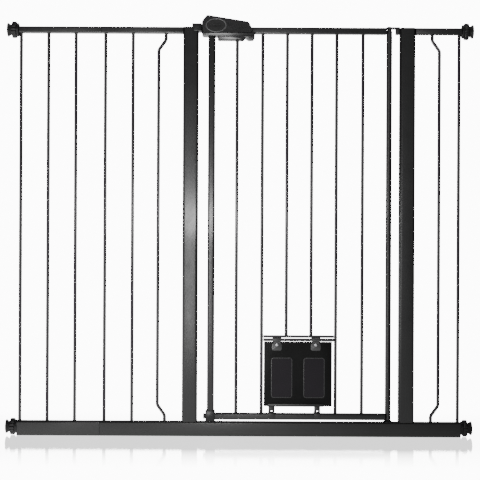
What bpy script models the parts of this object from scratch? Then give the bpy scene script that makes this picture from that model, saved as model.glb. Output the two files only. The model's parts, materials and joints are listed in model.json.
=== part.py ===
"""Pressure-fitted steel pet gate with a swinging door and a small hinged pet flap.

The frame stands across the X axis with its bottom rail on the floor at Z = 0, and its
front looks along -Y. A base frame carries two posts, and an extension panel plugs into
its left end. Four threaded spindles with thumb nuts press rubber pads on the walls.
"""

import math

import bmesh
import bpy
from mathutils import Matrix, Vector

MM = 0.001

# Clearances
GAP = 0.3 * MM  # between two pieces that touch or are welded together
RUN = 0.3 * MM  # radial, round a turning or sliding piece
SLIP = 0.5 * MM  # round a piece that passes through a plastic shell
OVERCUT = 5 * MM  # how far a cutter runs past the face that it opens

# Overall sizes
GATE_HEIGHT = 1036 * MM  # top of the top rails above the floor
FRAME_RIGHT = 562 * MM  # right end of the base frame
SEAM_X = -352 * MM  # left end of the base frame, where the extension panel starts
EXTENSION_LENGTH = 210 * MM

# Tube sections
BASE_HEIGHT = 36 * MM
BASE_DEPTH = 30 * MM
RAIL_HEIGHT = 15.5 * MM
RAIL_DEPTH = 25 * MM
TUBE_WALL = 1.5 * MM
RAIL_CORNER = 3 * MM
POST_WIDTH = 39 * MM
POST_CORNER = 6 * MM
STILE_CHAMFER = 0.6 * MM
BAR_RADIUS = 4.3 * MM

# Fixed frame
LEFT_POST_X = -125.1 * MM
RIGHT_POST_INSET = 138.1 * MM  # from the base frame's right end
JOG_OFFSET = 18.5 * MM  # the ends of a jogged bar stand this much nearer to the post
JOG_LOW = 52 * MM  # height of a jogged bar's lower bend
JOG_RISE = 26 * MM
JOG_BEND_RADIUS = 14 * MM
LEFT_JOG_INSET = 81.9 * MM  # from the left post
RIGHT_JOG_INSET = 56.4 * MM  # from the base frame's right end
RIGHT_END_BAR_INSET = 6.6 * MM
BASE_BAR_INSETS = (80 * MM, 10 * MM)  # from the base frame's left end
EXTENSION_FIRST_BAR = 65 * MM  # from the seam to the extension's first bar
EXTENSION_BAR_PITCH = 69.6 * MM
EXTENSION_BARS = 3
EXTENSION_PIN_PLAY = 0.1 * MM  # radial, against the spindle it stands in for
EXTENSION_PIN_LENGTH = 40 * MM

# Wall fittings
SPINDLE_RADIUS = 5 * MM
SPINDLE_LENGTH = 95 * MM
BASE_SPINDLE_Z = 21.6 * MM
NUT_HUB_RADIUS = 17 * MM
NUT_HUB_LENGTH = 5.5 * MM
NUT_RADIUS = 21.3 * MM
NUT_LENGTH = 11 * MM
NUT_LOBES = 16
NUT_LOBE_DEPTH = 1.3 * MM
NUT_CHAMFER = 1.2 * MM
PAD_NECK_RADIUS = 13.5 * MM
PAD_RADIUS = 17.5 * MM
PAD_THICKNESS = 11.2 * MM
PAD_NECK_LENGTH = 3.2 * MM
PAD_RIM = 2.2 * MM  # width of the pad's outer band
PAD_CHAMFER = 1.2 * MM
PAD_BORE_DEPTH = 6 * MM
PAD_PLAY = 0.8 * MM  # between the nut and the pad when the spindle is fully in

# Door
HINGE_INSET = 45.7 * MM  # from the right post
HINGE_STILE_RADIUS = 7.4 * MM
HINGE_STILE_WALL = 1.3 * MM
LATCH_STILE_INSET = 53 * MM  # from the left post
LATCH_STILE_WIDTH = 18 * MM
LATCH_STILE_CORNER = 5 * MM
DOOR_BOTTOM_Z = 42 * MM
DOOR_LIFT = 4 * MM
FLAP_BAY_INSET = 129.1 * MM  # from the latch stile
FLAP_BAY_WIDTH = 188 * MM

# Hinges
CORE_HEIGHT = 75 * MM
CORE_CHAMFER = 1 * MM
SPINDLE_TIP_RADIUS = 4 * MM
HINGE_CUP_RADIUS = 14.6 * MM
HINGE_CUP_TOP_RADIUS = 7.9 * MM
HINGE_CUP_PLAY = 0.5 * MM  # between the cup's top and the door's underside
HINGE_CUP_FLOOR = 1.2 * MM
HINGE_CUP_RIM = 1 * MM  # height of the cup's upright foot
STRAP_THICKNESS = 4.5 * MM
STRAP_SET_IN = 0.2 * MM  # the strap's round end, inside the hinge stile's wall
STRAP_DROP = 2 * MM  # the strap's underside lies this far below the top of the rails
STRAP_LEG_WIDTH = 10 * MM
STRAP_LEG_DEPTH = 20 * MM
STRAP_EDGE = 0.8 * MM
TOP_PIN_LENGTH = 32 * MM
PIN_HEAD_HEIGHT = 1.6 * MM
PIN_HEAD_CHAMFER = 1.5 * MM
PIN_POINT = 1 * MM

# Latch on the left post
STRIKE_WIDTH_ON_POST = 16.5 * MM
STRIKE_SIDE = 7.2 * MM
STRIKE_RISE = 8.6 * MM
STRIKE_DROP = 11 * MM
STRIKE_FLOOR = 1.5 * MM
STRIKE_LIP = 1.8 * MM
STRIKE_EDGE = 1.2 * MM
STRIKE_SHOULDER = 5 * MM  # the part beyond the lip that only caps the post
STRIKE_CAP_DROP = 3 * MM
BOLT_HALF_WIDTH = 4.8 * MM
BOLT_THICKNESS = 4.5 * MM
BOLT_RISE = 2.2 * MM  # underside of the bolt above the door's top rail
BOLT_REACH = 2.4 * MM  # how far the bolt's tip stands over the post
BOLT_LENGTH = 60 * MM
BOLT_EDGE = 0.8 * MM

# Handle
HANDLE_HALF_DEPTH = 22 * MM
HANDLE_WALL = 2.5 * MM
HANDLE_EDGE = 5 * MM
HANDLE_LEFT = -25.4 * MM  # from the latch stile's centre line
HANDLE_RIGHT = 103.6 * MM
HANDLE_TOP_LEFT = 28.8 * MM  # above the rail's top
HANDLE_TOP_RIGHT = 12 * MM
HANDLE_INSET_LEFT = 13 * MM  # from the left end to the corner of the top
HANDLE_INSET_RIGHT = 10 * MM
HANDLE_SHOULDER = 13 * MM  # above the rail's top, at the left end
HANDLE_CHEEK = 8 * MM  # below the rail's top, at the right end
HANDLE_TUCK = 3 * MM  # how far the right end draws in at the seam
HANDLE_CORNERS = (14 * MM, 5 * MM, 8 * MM, 6 * MM)
HANDLE_RAIL_START = 40 * MM  # from the latch stile's centre line
GRIP_LOW_LEFT = 22 * MM  # below the rail's top
GRIP_LOW_RIGHT = 25 * MM
GRIP_NOSE_LOW = 32 * MM
GRIP_NOSE_REACH = 5 * MM
GRIP_NOSE_START = 26 * MM  # from the nose's right end
GRIP_NOSE_LEFT = 17 * MM
GRIP_NOSE_RIGHT = 4 * MM
GRIP_NOSE_RISE = 8 * MM
GRIP_CORNERS = (6 * MM, 6 * MM, 4 * MM, 5 * MM, 5 * MM)
GRIP_LIP = 1.5 * MM  # upright band below the seam
GRIP_FLOOR = 2 * MM
GRIP_WALL = 7 * MM
GRIP_LEAN = 34  # degrees that the lower shell's front and back lean inwards
BUTTON_X = 10.6 * MM  # from the latch stile's centre line
BUTTON_RISE = 2.6 * MM  # above the rail's top
BUTTON_HALF_WIDTH = 23 * MM
BUTTON_HALF_HEIGHT = 14.6 * MM
BUTTON_RIM = 3.3 * MM
BUTTON_RIM_HEIGHT = 1 * MM
BUTTON_FLANGE = 1.5 * MM
BUTTON_FLANGE_THICKNESS = 1.4 * MM
BUTTON_PROUD = 0.6 * MM
BUTTON_EDGE = 0.8 * MM
TRIGGER_LEFT = 14.5 * MM  # from the latch stile's centre line
TRIGGER_LENGTH = 69 * MM
TRIGGER_FLANGE_LENGTH = 34 * MM
TRIGGER_HALF_DEPTH = 7.5 * MM
TRIGGER_FLANGE = 1.8 * MM
TRIGGER_LOW = 34.5 * MM  # below the rail's top
TRIGGER_FLANGE_THICKNESS = 1 * MM
TRIGGER_EDGE = 1 * MM
TRIGGER_CORNERS = (5 * MM, 7 * MM)

# Foot of the latch stile and its stop
FOOT_WALL = 2.6 * MM
FOOT_LEFT_WALL = 3.4 * MM
FOOT_TOP = 22 * MM  # above the door's underside
FOOT_KNOB_RADIUS = 7 * MM
FOOT_KNOB_LENGTH = 6 * MM
FOOT_KNOB_CHAMFER = 2 * MM
FOOT_EDGE = 1.5 * MM
STOP_RADIUS = 4 * MM
STOP_HEIGHT = 3.4 * MM
STOP_PLATE = 1 * MM
STOP_PLATE_RADIUS = 6 * MM
STOP_DOME = 1 * MM
STOP_RUN = 1 * MM  # round the stud, in the foot's recess
STOP_RUN_ALONG = 2 * MM  # the same, along the rail

# Pet flap
FLAP_WIDTH = 173 * MM
FLAP_OFFSET = -1.5 * MM  # from the middle of its bay
FLAP_BOTTOM_Z = 76 * MM
FLAP_THICKNESS = 1.8 * MM
FLAP_Y = -6 * MM
HINGE_ROD_Z = 244.5 * MM
HINGE_ROD_RADIUS = 4 * MM
HEADER_Z = 252.6 * MM
HEADER_RADIUS = 3.5 * MM
FLAP_TOP_GAP = 0.5 * MM
FLAP_CORNER = 1.5 * MM
WINDOW_WIDTH = 52 * MM
WINDOW_HEIGHT = 100 * MM
WINDOW_CORNER = 6 * MM
WINDOW_SPACING = 82 * MM
WINDOW_BOTTOM_Z = 98.5 * MM
WINDOW_THICKNESS = 1.3 * MM
WINDOW_SET_BACK = 0.2 * MM
CLIP_OFFSETS = (-53.5 * MM, 45 * MM)  # from the flap's middle
CLIP_WIDTH = 25 * MM
CLIP_THICKNESS = 1.2 * MM
CLIP_DROP = 27 * MM  # below the hinge rod's axis
CLIP_SCREW_DROP = 12 * MM
CLIP_CURL_START = -50  # degrees round the rod, from straight behind it
CLIP_CURL_END = 200
CLIP_STRAIGHT = 3 * MM  # below the rod, where the clip lies flat on the panel
SCREW_HEAD_RADIUS = 4.6 * MM
SCREW_HEAD_HEIGHT = 2.8 * MM
SCREW_RADIUS = 2 * MM
SCREW_TAIL = 2.5 * MM
LOCK_OFFSETS = (-66.5 * MM, 49 * MM)  # from the flap's middle
LOCK_TAB_WIDTH = 16 * MM
LOCK_STRIP_LENGTH = 143 * MM
LOCK_STRIP_CENTRE = -5.3 * MM
LOCK_STRIP_HEIGHT = 7 * MM
LOCK_STRIP_LOW = 1 * MM  # below the flap's lower edge
LOCK_THICKNESS = 1.5 * MM
LOCK_BRIDGE_RISE = 1.5 * MM  # over the door's bottom rail
LOCK_LEG_BELOW = 14 * MM  # below the top of the door's bottom rail
LOCK_HOLE_RADIUS = 2.2 * MM
LOCK_HOLE_RISE = 2.7 * MM  # the hole's centre above the saddle
LOCK_OVERLAP = 2 * MM  # of each hanger on the strip

# Values that follow from the ones above
RAIL_Z = GATE_HEIGHT - RAIL_HEIGHT / 2
HANDLE_SEAM_DROP = RAIL_HEIGHT  # the seam between the two shells runs level with the rail's underside
DOOR_RAIL_TOP_Z = DOOR_BOTTOM_Z + RAIL_HEIGHT
FRAME_LEFT = SEAM_X - EXTENSION_LENGTH
NUT_START = GAP
PAD_START = NUT_START + NUT_HUB_LENGTH + NUT_LENGTH + PAD_PLAY
BOLT_Z = GATE_HEIGHT + BOLT_RISE + BOLT_THICKNESS / 2
RIGHT_POST_X = FRAME_RIGHT - RIGHT_POST_INSET
LEFT_JOG_X = LEFT_POST_X - LEFT_JOG_INSET
RIGHT_JOG_X = FRAME_RIGHT - RIGHT_JOG_INSET
RIGHT_END_BAR_X = FRAME_RIGHT - RIGHT_END_BAR_INSET
EXTENSION_PIN_RADIUS = SPINDLE_RADIUS - EXTENSION_PIN_PLAY
HINGE_X = RIGHT_POST_X - HINGE_INSET
HINGE_CUP_TOP_Z = DOOR_BOTTOM_Z - HINGE_CUP_PLAY
LATCH_STILE_X = LEFT_POST_X + LATCH_STILE_INSET
FLAP_BAY_LEFT = LATCH_STILE_X + FLAP_BAY_INSET
CORE_RADIUS = HINGE_STILE_RADIUS - HINGE_STILE_WALL - RUN
STRAP_RADIUS = HINGE_STILE_RADIUS - STRAP_SET_IN
LEFT_POST_INNER = LEFT_POST_X + POST_WIDTH / 2
RIGHT_POST_INNER = RIGHT_POST_X - POST_WIDTH / 2
FLAP_X = FLAP_BAY_LEFT + FLAP_BAY_WIDTH / 2 + FLAP_OFFSET
STILE_TOP_Z = GATE_HEIGHT - STRAP_DROP - DOOR_LIFT - SLIP

CORNER_SEGMENTS = 3
ROUND_STEPS = 24
ELLIPSE_STEPS = 28
ARC_DEGREES = 22
WELD = 0.00001


# ---------------------------------------------------------------- scene set-up
def clear_scene():
    for obj in list(bpy.data.objects):
        bpy.data.objects.remove(obj, do_unlink=True)


def new_collection(name):
    collection = bpy.data.collections.new(name)
    bpy.context.scene.collection.children.link(collection)
    return collection


def new_material(name, colour, roughness, metallic):
    material = bpy.data.materials.new(name)
    material.use_nodes = True
    shader = material.node_tree.nodes["Principled BSDF"]
    shader.inputs["Base Color"].default_value = (*colour, 1.0)
    shader.inputs["Roughness"].default_value = roughness
    shader.inputs["Metallic"].default_value = metallic
    material.diffuse_color = (*colour, 1.0)
    return material


clear_scene()
PARTS = new_collection("pet_gate")
CUTTERS = new_collection("cutters")
STEEL = new_material("powder_coated_steel", (0.022, 0.022, 0.023), 0.42, 0.0)
DARK_METAL = new_material("blackened_metal", (0.07, 0.07, 0.075), 0.3, 0.9)
PLASTIC = new_material("black_plastic", (0.018, 0.018, 0.019), 0.38, 0.0)
RUBBER = new_material("black_rubber", (0.02, 0.02, 0.02), 0.75, 0.0)
ZINC = new_material("zinc_plated_steel", (0.62, 0.62, 0.64), 0.3, 1.0)
WINDOW = new_material("tinted_window", (0.012, 0.011, 0.013), 0.12, 0.0)


# ---------------------------------------------------------------- mesh helpers
def object_from_bmesh(name, bm, centre=(0, 0, 0)):
    bmesh.ops.recalc_face_normals(bm, faces=bm.faces)
    mesh = bpy.data.meshes.new(name)
    bm.to_mesh(mesh)
    bm.free()
    obj = bpy.data.objects.new(name, mesh)
    obj.matrix_world = Matrix.Translation(centre)
    CUTTERS.objects.link(obj)
    obj.hide_render = True
    obj.display_type = "WIRE"
    return obj


def as_mesh(obj):
    """The evaluated shape of an object as a plain welded mesh object, which replaces it."""
    bpy.context.view_layer.update()
    graph = bpy.context.evaluated_depsgraph_get()
    mesh = bpy.data.meshes.new_from_object(obj.evaluated_get(graph))
    matrix = obj.matrix_world.copy()
    name = obj.name
    bpy.data.objects.remove(obj, do_unlink=True)
    bm = bmesh.new()
    bm.from_mesh(mesh)
    bpy.data.meshes.remove(mesh)
    bmesh.ops.remove_doubles(bm, verts=bm.verts, dist=WELD)
    made = object_from_bmesh(name, bm)
    made.matrix_world = matrix
    return made


def box(name, low, high, bevel=0.0, segments=2):
    low = Vector(low)
    high = Vector(high)
    bm = bmesh.new()
    bmesh.ops.create_cube(bm, size=1.0)
    bmesh.ops.scale(bm, vec=high - low, verts=bm.verts)
    if bevel:
        bmesh.ops.bevel(
            bm, geom=bm.edges, offset=bevel, segments=segments, profile=0.5, affect="EDGES"
        )
    return object_from_bmesh(name, bm, (low + high) / 2)


def rounded_bar(name, low, high, axis, radius):
    """A box whose four edges along one axis are rounded."""
    low = Vector(low)
    high = Vector(high)
    bm = bmesh.new()
    bmesh.ops.create_cube(bm, size=1.0)
    bmesh.ops.scale(bm, vec=high - low, verts=bm.verts)
    edges = []
    for edge in bm.edges:
        direction = edge.verts[1].co - edge.verts[0].co
        if abs(direction[axis]) > 0.99 * direction.length:
            edges.append(edge)
    bmesh.ops.bevel(
        bm, geom=edges, offset=radius, segments=CORNER_SEGMENTS, profile=0.5, affect="EDGES"
    )
    return object_from_bmesh(name, bm, (low + high) / 2)


def cylinder(name, start, end, radius, steps=ROUND_STEPS):
    start = Vector(start)
    end = Vector(end)
    bm = bmesh.new()
    bmesh.ops.create_cone(
        bm,
        cap_ends=True,
        segments=steps,
        radius1=radius,
        radius2=radius,
        depth=(end - start).length,
    )
    obj = object_from_bmesh(name, bm)
    turn = Vector((0, 0, 1)).rotation_difference((end - start).normalized())
    obj.matrix_world = Matrix.Translation((start + end) / 2) @ turn.to_matrix().to_4x4()
    return obj


def turned(name, profile, closed, location, axis=(0, 0, 1)):
    """A profile of (radius, height) points turned about the axis through the location."""
    bm = bmesh.new()
    verts = [bm.verts.new((radius, 0, height)) for radius, height in profile]
    for first, second in zip(verts, verts[1:]):
        bm.edges.new((first, second))
    if closed:
        bm.edges.new((verts[-1], verts[0]))
    mesh = bpy.data.meshes.new(name)
    bm.to_mesh(mesh)
    bm.free()
    obj = bpy.data.objects.new(name, mesh)
    CUTTERS.objects.link(obj)
    screw = obj.modifiers.new("Turn", "SCREW")
    screw.steps = ROUND_STEPS
    screw.render_steps = ROUND_STEPS
    screw.use_merge_vertices = True
    screw.merge_threshold = WELD
    made = as_mesh(obj)
    turn = Vector((0, 0, 1)).rotation_difference(Vector(axis))
    made.matrix_world = Matrix.Translation(location) @ turn.to_matrix().to_4x4()
    return made


def rounded_path(points, radii, closed):
    """A polyline with its corners replaced by arcs of the given radii."""
    count = len(points)
    path = []
    for index, point in enumerate(points):
        corner = Vector(point)
        radius = radii[index]
        if radius == 0 or (not closed and index in (0, count - 1)):
            path.append(corner)
            continue
        back = (Vector(points[index - 1]) - corner).normalized()
        ahead = (Vector(points[(index + 1) % count]) - corner).normalized()
        half = back.angle(ahead) / 2
        reach = radius / math.tan(half)
        centre = corner + (back + ahead).normalized() * radius / math.sin(half)
        first = corner + back * reach - centre
        last = corner + ahead * reach - centre
        turn = math.pi - 2 * half
        steps = max(2, math.ceil(turn / math.radians(ARC_DEGREES)))
        for step in range(steps + 1):
            share = step / steps
            from_first = math.sin((1 - share) * turn) / math.sin(turn)
            from_last = math.sin(share * turn) / math.sin(turn)
            path.append(centre + first * from_first + last * from_last)
    return path


def prism(name, outline, y_low, y_high):
    """A closed outline of (x, z) points, given thickness from y_low to y_high."""
    data = bpy.data.curves.new(name, "CURVE")
    data.dimensions = "2D"
    data.fill_mode = "BOTH"
    data.extrude = (y_high - y_low) / 2
    spline = data.splines.new("POLY")
    spline.points.add(len(outline) - 1)
    for point, (x, z) in zip(spline.points, outline):
        point.co = (x, z, 0, 1)
    spline.use_cyclic_u = True
    obj = bpy.data.objects.new(name, data)
    CUTTERS.objects.link(obj)
    upright = Matrix.Rotation(math.radians(90), 4, "X")
    obj.matrix_world = Matrix.Translation((0, (y_low + y_high) / 2, 0)) @ upright
    return as_mesh(obj)


def wire(name, points, radius):
    """A round bar along a path, with flat ends."""
    data = bpy.data.curves.new(name, "CURVE")
    data.dimensions = "3D"
    data.bevel_depth = radius
    data.bevel_resolution = 4
    data.use_fill_caps = True
    spline = data.splines.new("POLY")
    spline.points.add(len(points) - 1)
    origin = Vector(points[0])
    for point, place in zip(spline.points, points):
        point.co = (*(Vector(place) - origin), 1)
    obj = bpy.data.objects.new(name, data)
    CUTTERS.objects.link(obj)
    obj.matrix_world = Matrix.Translation(origin)
    return as_mesh(obj)


def bent_sheet(name, path, half_width, thickness, centre):
    """A sheet that follows a path of (y, z) points, centred on one X and thickened inwards."""
    bm = bmesh.new()
    left = [bm.verts.new((-half_width, y, z)) for y, z in path]
    edges = [bm.edges.new(pair) for pair in zip(left, left[1:])]
    made = bmesh.ops.extrude_edge_only(bm, edges=edges)
    moved = [item for item in made["geom"] if isinstance(item, bmesh.types.BMVert)]
    bmesh.ops.translate(bm, vec=(2 * half_width, 0, 0), verts=moved)
    mesh = bpy.data.meshes.new(name)
    bm.to_mesh(mesh)
    bm.free()
    obj = bpy.data.objects.new(name, mesh)
    CUTTERS.objects.link(obj)
    shell = obj.modifiers.new("Sheet", "SOLIDIFY")
    shell.thickness = thickness
    shell.offset = 0
    shell.use_even_offset = True
    obj.matrix_world = Matrix.Translation(centre)
    return as_mesh(obj)


def boolean(obj, other, operation):
    modifier = obj.modifiers.new(operation.title(), "BOOLEAN")
    modifier.operation = operation
    modifier.object = other
    modifier.solver = "EXACT"


def cut(obj, *cutters):
    for cutter in cutters:
        boolean(obj, cutter, "DIFFERENCE")


def join(obj, *others):
    for other in others:
        boolean(obj, other, "UNION")


def round_edges(obj, width, segments, angle=40):
    bevel = obj.modifiers.new("Bevel", "BEVEL")
    bevel.width = width
    bevel.segments = segments
    bevel.limit_method = "ANGLE"
    bevel.angle_limit = math.radians(angle)


def add_part(obj, name, material, parent=None):
    """Moves a finished shape from the cutters to the parts."""
    obj.name = name
    obj.data.name = name
    CUTTERS.objects.unlink(obj)
    PARTS.objects.link(obj)
    obj.hide_render = False
    obj.display_type = "TEXTURED"
    obj.data.materials.clear()
    obj.data.materials.append(material)
    obj.data.shade_smooth()
    obj.data.set_sharp_from_angle(angle=math.radians(35))
    if parent:
        obj.parent = parent
        obj.matrix_parent_inverse = parent.matrix_world.inverted()
    return obj


def axis_empty(name, location):
    empty = bpy.data.objects.new(name, None)
    empty.empty_display_size = 0.05
    empty.matrix_world = Matrix.Translation(location)
    PARTS.objects.link(empty)
    bpy.context.view_layer.update()
    return empty


# ---------------------------------------------------------------- tubes of the frame
def tube_along_x(name, x_low, x_high, z_low, height, depth, ends):
    """A rounded rectangular tube. ends names the closed ends: 'both', 'left', 'right' or ''."""
    body = rounded_bar(
        name, (x_low, -depth / 2, z_low), (x_high, depth / 2, z_low + height), 0, RAIL_CORNER
    )
    inner_low = x_low + TUBE_WALL if ends in ("both", "left") else x_low - OVERCUT
    inner_high = x_high - TUBE_WALL if ends in ("both", "right") else x_high + OVERCUT
    hollow = rounded_bar(
        name + "_hollow",
        (inner_low, -depth / 2 + TUBE_WALL, z_low + TUBE_WALL),
        (inner_high, depth / 2 - TUBE_WALL, z_low + height - TUBE_WALL),
        0,
        RAIL_CORNER - TUBE_WALL,
    )
    cut(body, hollow)
    return body


def spindle_hole(name, x_end, z):
    start = (x_end - OVERCUT, 0, z)
    return cylinder(name, start, (x_end + OVERCUT, 0, z), SPINDLE_RADIUS + RUN)


def extension_pin(name, z):
    """The plain pin on the extension's inner end, which fills the base frame's spindle hole."""
    inside = SEAM_X - TUBE_WALL - GAP
    return cylinder(
        name, (inside, 0, z), (SEAM_X + EXTENSION_PIN_LENGTH, 0, z), EXTENSION_PIN_RADIUS
    )


def fixed_rails():
    top_low = GATE_HEIGHT - RAIL_HEIGHT
    bottom = tube_along_x(
        "bottom_rail", SEAM_X, FRAME_RIGHT, 0, BASE_HEIGHT, BASE_DEPTH, "both"
    )
    cut(bottom, spindle_hole("hole_bottom_left", SEAM_X, BASE_SPINDLE_Z))
    cut(bottom, spindle_hole("hole_bottom_right", FRAME_RIGHT, BASE_SPINDLE_Z))
    add_part(bottom, "bottom_rail", STEEL)

    left = tube_along_x(
        "top_rail_left",
        SEAM_X,
        LEFT_POST_X - POST_WIDTH / 2 - GAP,
        top_low,
        RAIL_HEIGHT,
        RAIL_DEPTH,
        "left",
    )
    cut(left, spindle_hole("hole_top_seam", SEAM_X, RAIL_Z))
    add_part(left, "top_rail_left", STEEL)

    right = tube_along_x(
        "top_rail_right",
        RIGHT_POST_X + POST_WIDTH / 2 + GAP,
        FRAME_RIGHT,
        top_low,
        RAIL_HEIGHT,
        RAIL_DEPTH,
        "right",
    )
    cut(right, spindle_hole("hole_top_right", FRAME_RIGHT, RAIL_Z))
    add_part(right, "top_rail_right", STEEL)


def extension_rails():
    seam = SEAM_X - GAP
    sections = (
        ("extension_bottom_rail", 0, BASE_HEIGHT, BASE_DEPTH, BASE_SPINDLE_Z),
        (
            "extension_top_rail",
            GATE_HEIGHT - RAIL_HEIGHT,
            RAIL_HEIGHT,
            RAIL_DEPTH,
            RAIL_Z,
        ),
    )
    for name, z_low, height, depth, z in sections:
        body = tube_along_x(name, FRAME_LEFT, seam, z_low, height, depth, "both")
        cut(body, spindle_hole(name + "_hole", FRAME_LEFT, z))
        join(body, extension_pin(name + "_pin", z))
        add_part(body, name, STEEL)


def post(name, x):
    low = (x - POST_WIDTH / 2, -BASE_DEPTH / 2, BASE_HEIGHT + GAP)
    high = (x + POST_WIDTH / 2, BASE_DEPTH / 2, GATE_HEIGHT)
    body = rounded_bar(name, low, high, 2, POST_CORNER)
    hollow = rounded_bar(
        name + "_hollow",
        (low[0] + TUBE_WALL, low[1] + TUBE_WALL, 0),
        (high[0] - TUBE_WALL, high[1] - TUBE_WALL, high[2] - TUBE_WALL),
        2,
        POST_CORNER - TUBE_WALL,
    )
    cut(body, hollow)
    add_part(body, name, STEEL)


def straight_bar(name, x, z_low, z_high, parent=None):
    add_part(wire(name, ((x, 0, z_low), (x, 0, z_high)), BAR_RADIUS), name, STEEL, parent)


def jogged_bar(name, x, towards_post):
    """A bar whose two ends step sideways, clear of the spindles in the rails."""
    low = BASE_HEIGHT + GAP
    high = GATE_HEIGHT - RAIL_HEIGHT - GAP
    end_x = x + JOG_OFFSET * towards_post
    corners = [
        (end_x, 0, low),
        (end_x, 0, JOG_LOW),
        (x, 0, JOG_LOW + JOG_RISE),
        (x, 0, high - (JOG_LOW - low) - JOG_RISE),
        (end_x, 0, high - (JOG_LOW - low)),
        (end_x, 0, high),
    ]
    radii = [0, JOG_BEND_RADIUS, JOG_BEND_RADIUS, JOG_BEND_RADIUS, JOG_BEND_RADIUS, 0]
    add_part(wire(name, rounded_path(corners, radii, False), BAR_RADIUS), name, STEEL)


def fixed_bars():
    low = BASE_HEIGHT + GAP
    high = GATE_HEIGHT - RAIL_HEIGHT - GAP
    for number, inset in enumerate(BASE_BAR_INSETS, 1):
        straight_bar(f"frame_bar_{number}", SEAM_X + inset, low, high)
    for number in range(EXTENSION_BARS):
        x = SEAM_X - EXTENSION_FIRST_BAR - number * EXTENSION_BAR_PITCH
        straight_bar(f"extension_bar_{number + 1}", x, low, high)
    straight_bar("frame_bar_right", RIGHT_END_BAR_X, low, high)
    jogged_bar("jogged_bar_left", LEFT_JOG_X, 1)
    jogged_bar("jogged_bar_right", RIGHT_JOG_X, -1)


# ---------------------------------------------------------------- wall fittings
def lobed_outline(radius, lobes, depth):
    points = []
    per_lobe = 3
    for step in range(lobes * per_lobe):
        angle = 2 * math.pi * step / (lobes * per_lobe)
        reach = radius - depth * (0.5 - 0.5 * math.cos(lobes * angle))
        points.append((reach * math.cos(angle), reach * math.sin(angle)))
    return points


def nut_mesh():
    """A thumb nut along +X, its hub starting at the local origin."""
    outline = lobed_outline(NUT_RADIUS, NUT_LOBES, NUT_LOBE_DEPTH)
    wheel = prism("nut_wheel", outline, -NUT_LENGTH / 2, NUT_LENGTH / 2)
    round_edges(wheel, NUT_CHAMFER, 1, 60)
    wheel = as_mesh(wheel)
    turn = Matrix.Rotation(math.radians(-90), 4, "Z")
    middle = NUT_HUB_LENGTH + NUT_LENGTH / 2
    wheel.matrix_world = Matrix.Translation((middle, 0, 0)) @ turn @ wheel.matrix_world
    hub = cylinder(
        "nut_hub", (0, 0, 0), (NUT_HUB_LENGTH + NUT_LENGTH / 2, 0, 0), NUT_HUB_RADIUS
    )
    bore = cylinder(
        "nut_bore",
        (-OVERCUT, 0, 0),
        (NUT_HUB_LENGTH + NUT_LENGTH + OVERCUT, 0, 0),
        SPINDLE_RADIUS + RUN,
    )
    join(hub, wheel)
    cut(hub, bore)
    solid = as_mesh(hub)
    mesh = solid.data
    mesh.transform(solid.matrix_world)
    bpy.data.objects.remove(solid, do_unlink=True)
    for helper in (wheel, bore):
        bpy.data.objects.remove(helper, do_unlink=True)
    return mesh


def pad_mesh():
    """A flared wall pad along +X with a blind bore for the spindle's end."""
    bore = SPINDLE_RADIUS + RUN
    profile = [
        (0, PAD_THICKNESS),
        (PAD_RADIUS - PAD_CHAMFER, PAD_THICKNESS),
        (PAD_RADIUS, PAD_THICKNESS - PAD_CHAMFER),
        (PAD_RADIUS, PAD_THICKNESS - PAD_CHAMFER - PAD_RIM),
        (PAD_NECK_RADIUS, PAD_NECK_LENGTH),
        (PAD_NECK_RADIUS, 0),
        (bore, 0),
        (bore, PAD_BORE_DEPTH),
        (0, PAD_BORE_DEPTH),
    ]
    solid = turned("pad", profile, False, (0, 0, 0), (1, 0, 0))
    mesh = solid.data
    mesh.transform(solid.matrix_world)
    bpy.data.objects.remove(solid, do_unlink=True)
    return mesh


def spindle_mesh():
    """A threaded rod along +X; its outer end lies PAD_BORE_DEPTH inside the pad."""
    outer = PAD_START + PAD_BORE_DEPTH - GAP
    solid = cylinder("rod", (outer - SPINDLE_LENGTH, 0, 0), (outer, 0, 0), SPINDLE_RADIUS)
    mesh = solid.data
    mesh.transform(solid.matrix_world)
    bpy.data.objects.remove(solid, do_unlink=True)
    return mesh


def wall_fittings():
    corners = (
        ("top_left", FRAME_LEFT, RAIL_Z, 180),
        ("bottom_left", FRAME_LEFT, BASE_SPINDLE_Z, 180),
        ("top_right", FRAME_RIGHT, RAIL_Z, 0),
        ("bottom_right", FRAME_RIGHT, BASE_SPINDLE_Z, 0),
    )
    pieces = (
        ("thumb_nut", nut_mesh(), PLASTIC, NUT_START),
        ("wall_pad", pad_mesh(), RUBBER, PAD_START),
        ("spindle", spindle_mesh(), ZINC, 0),
    )
    for corner, x, z, heading in corners:
        base = Matrix.Translation((x, 0, z)) @ Matrix.Rotation(math.radians(heading), 4, "Z")
        for kind, mesh, material, start in pieces:
            name = f"{kind}_{corner}"
            obj = bpy.data.objects.new(name, mesh)
            obj.matrix_world = base @ Matrix.Translation((start, 0, 0))
            CUTTERS.objects.link(obj)
            add_part(obj, name, material)


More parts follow.
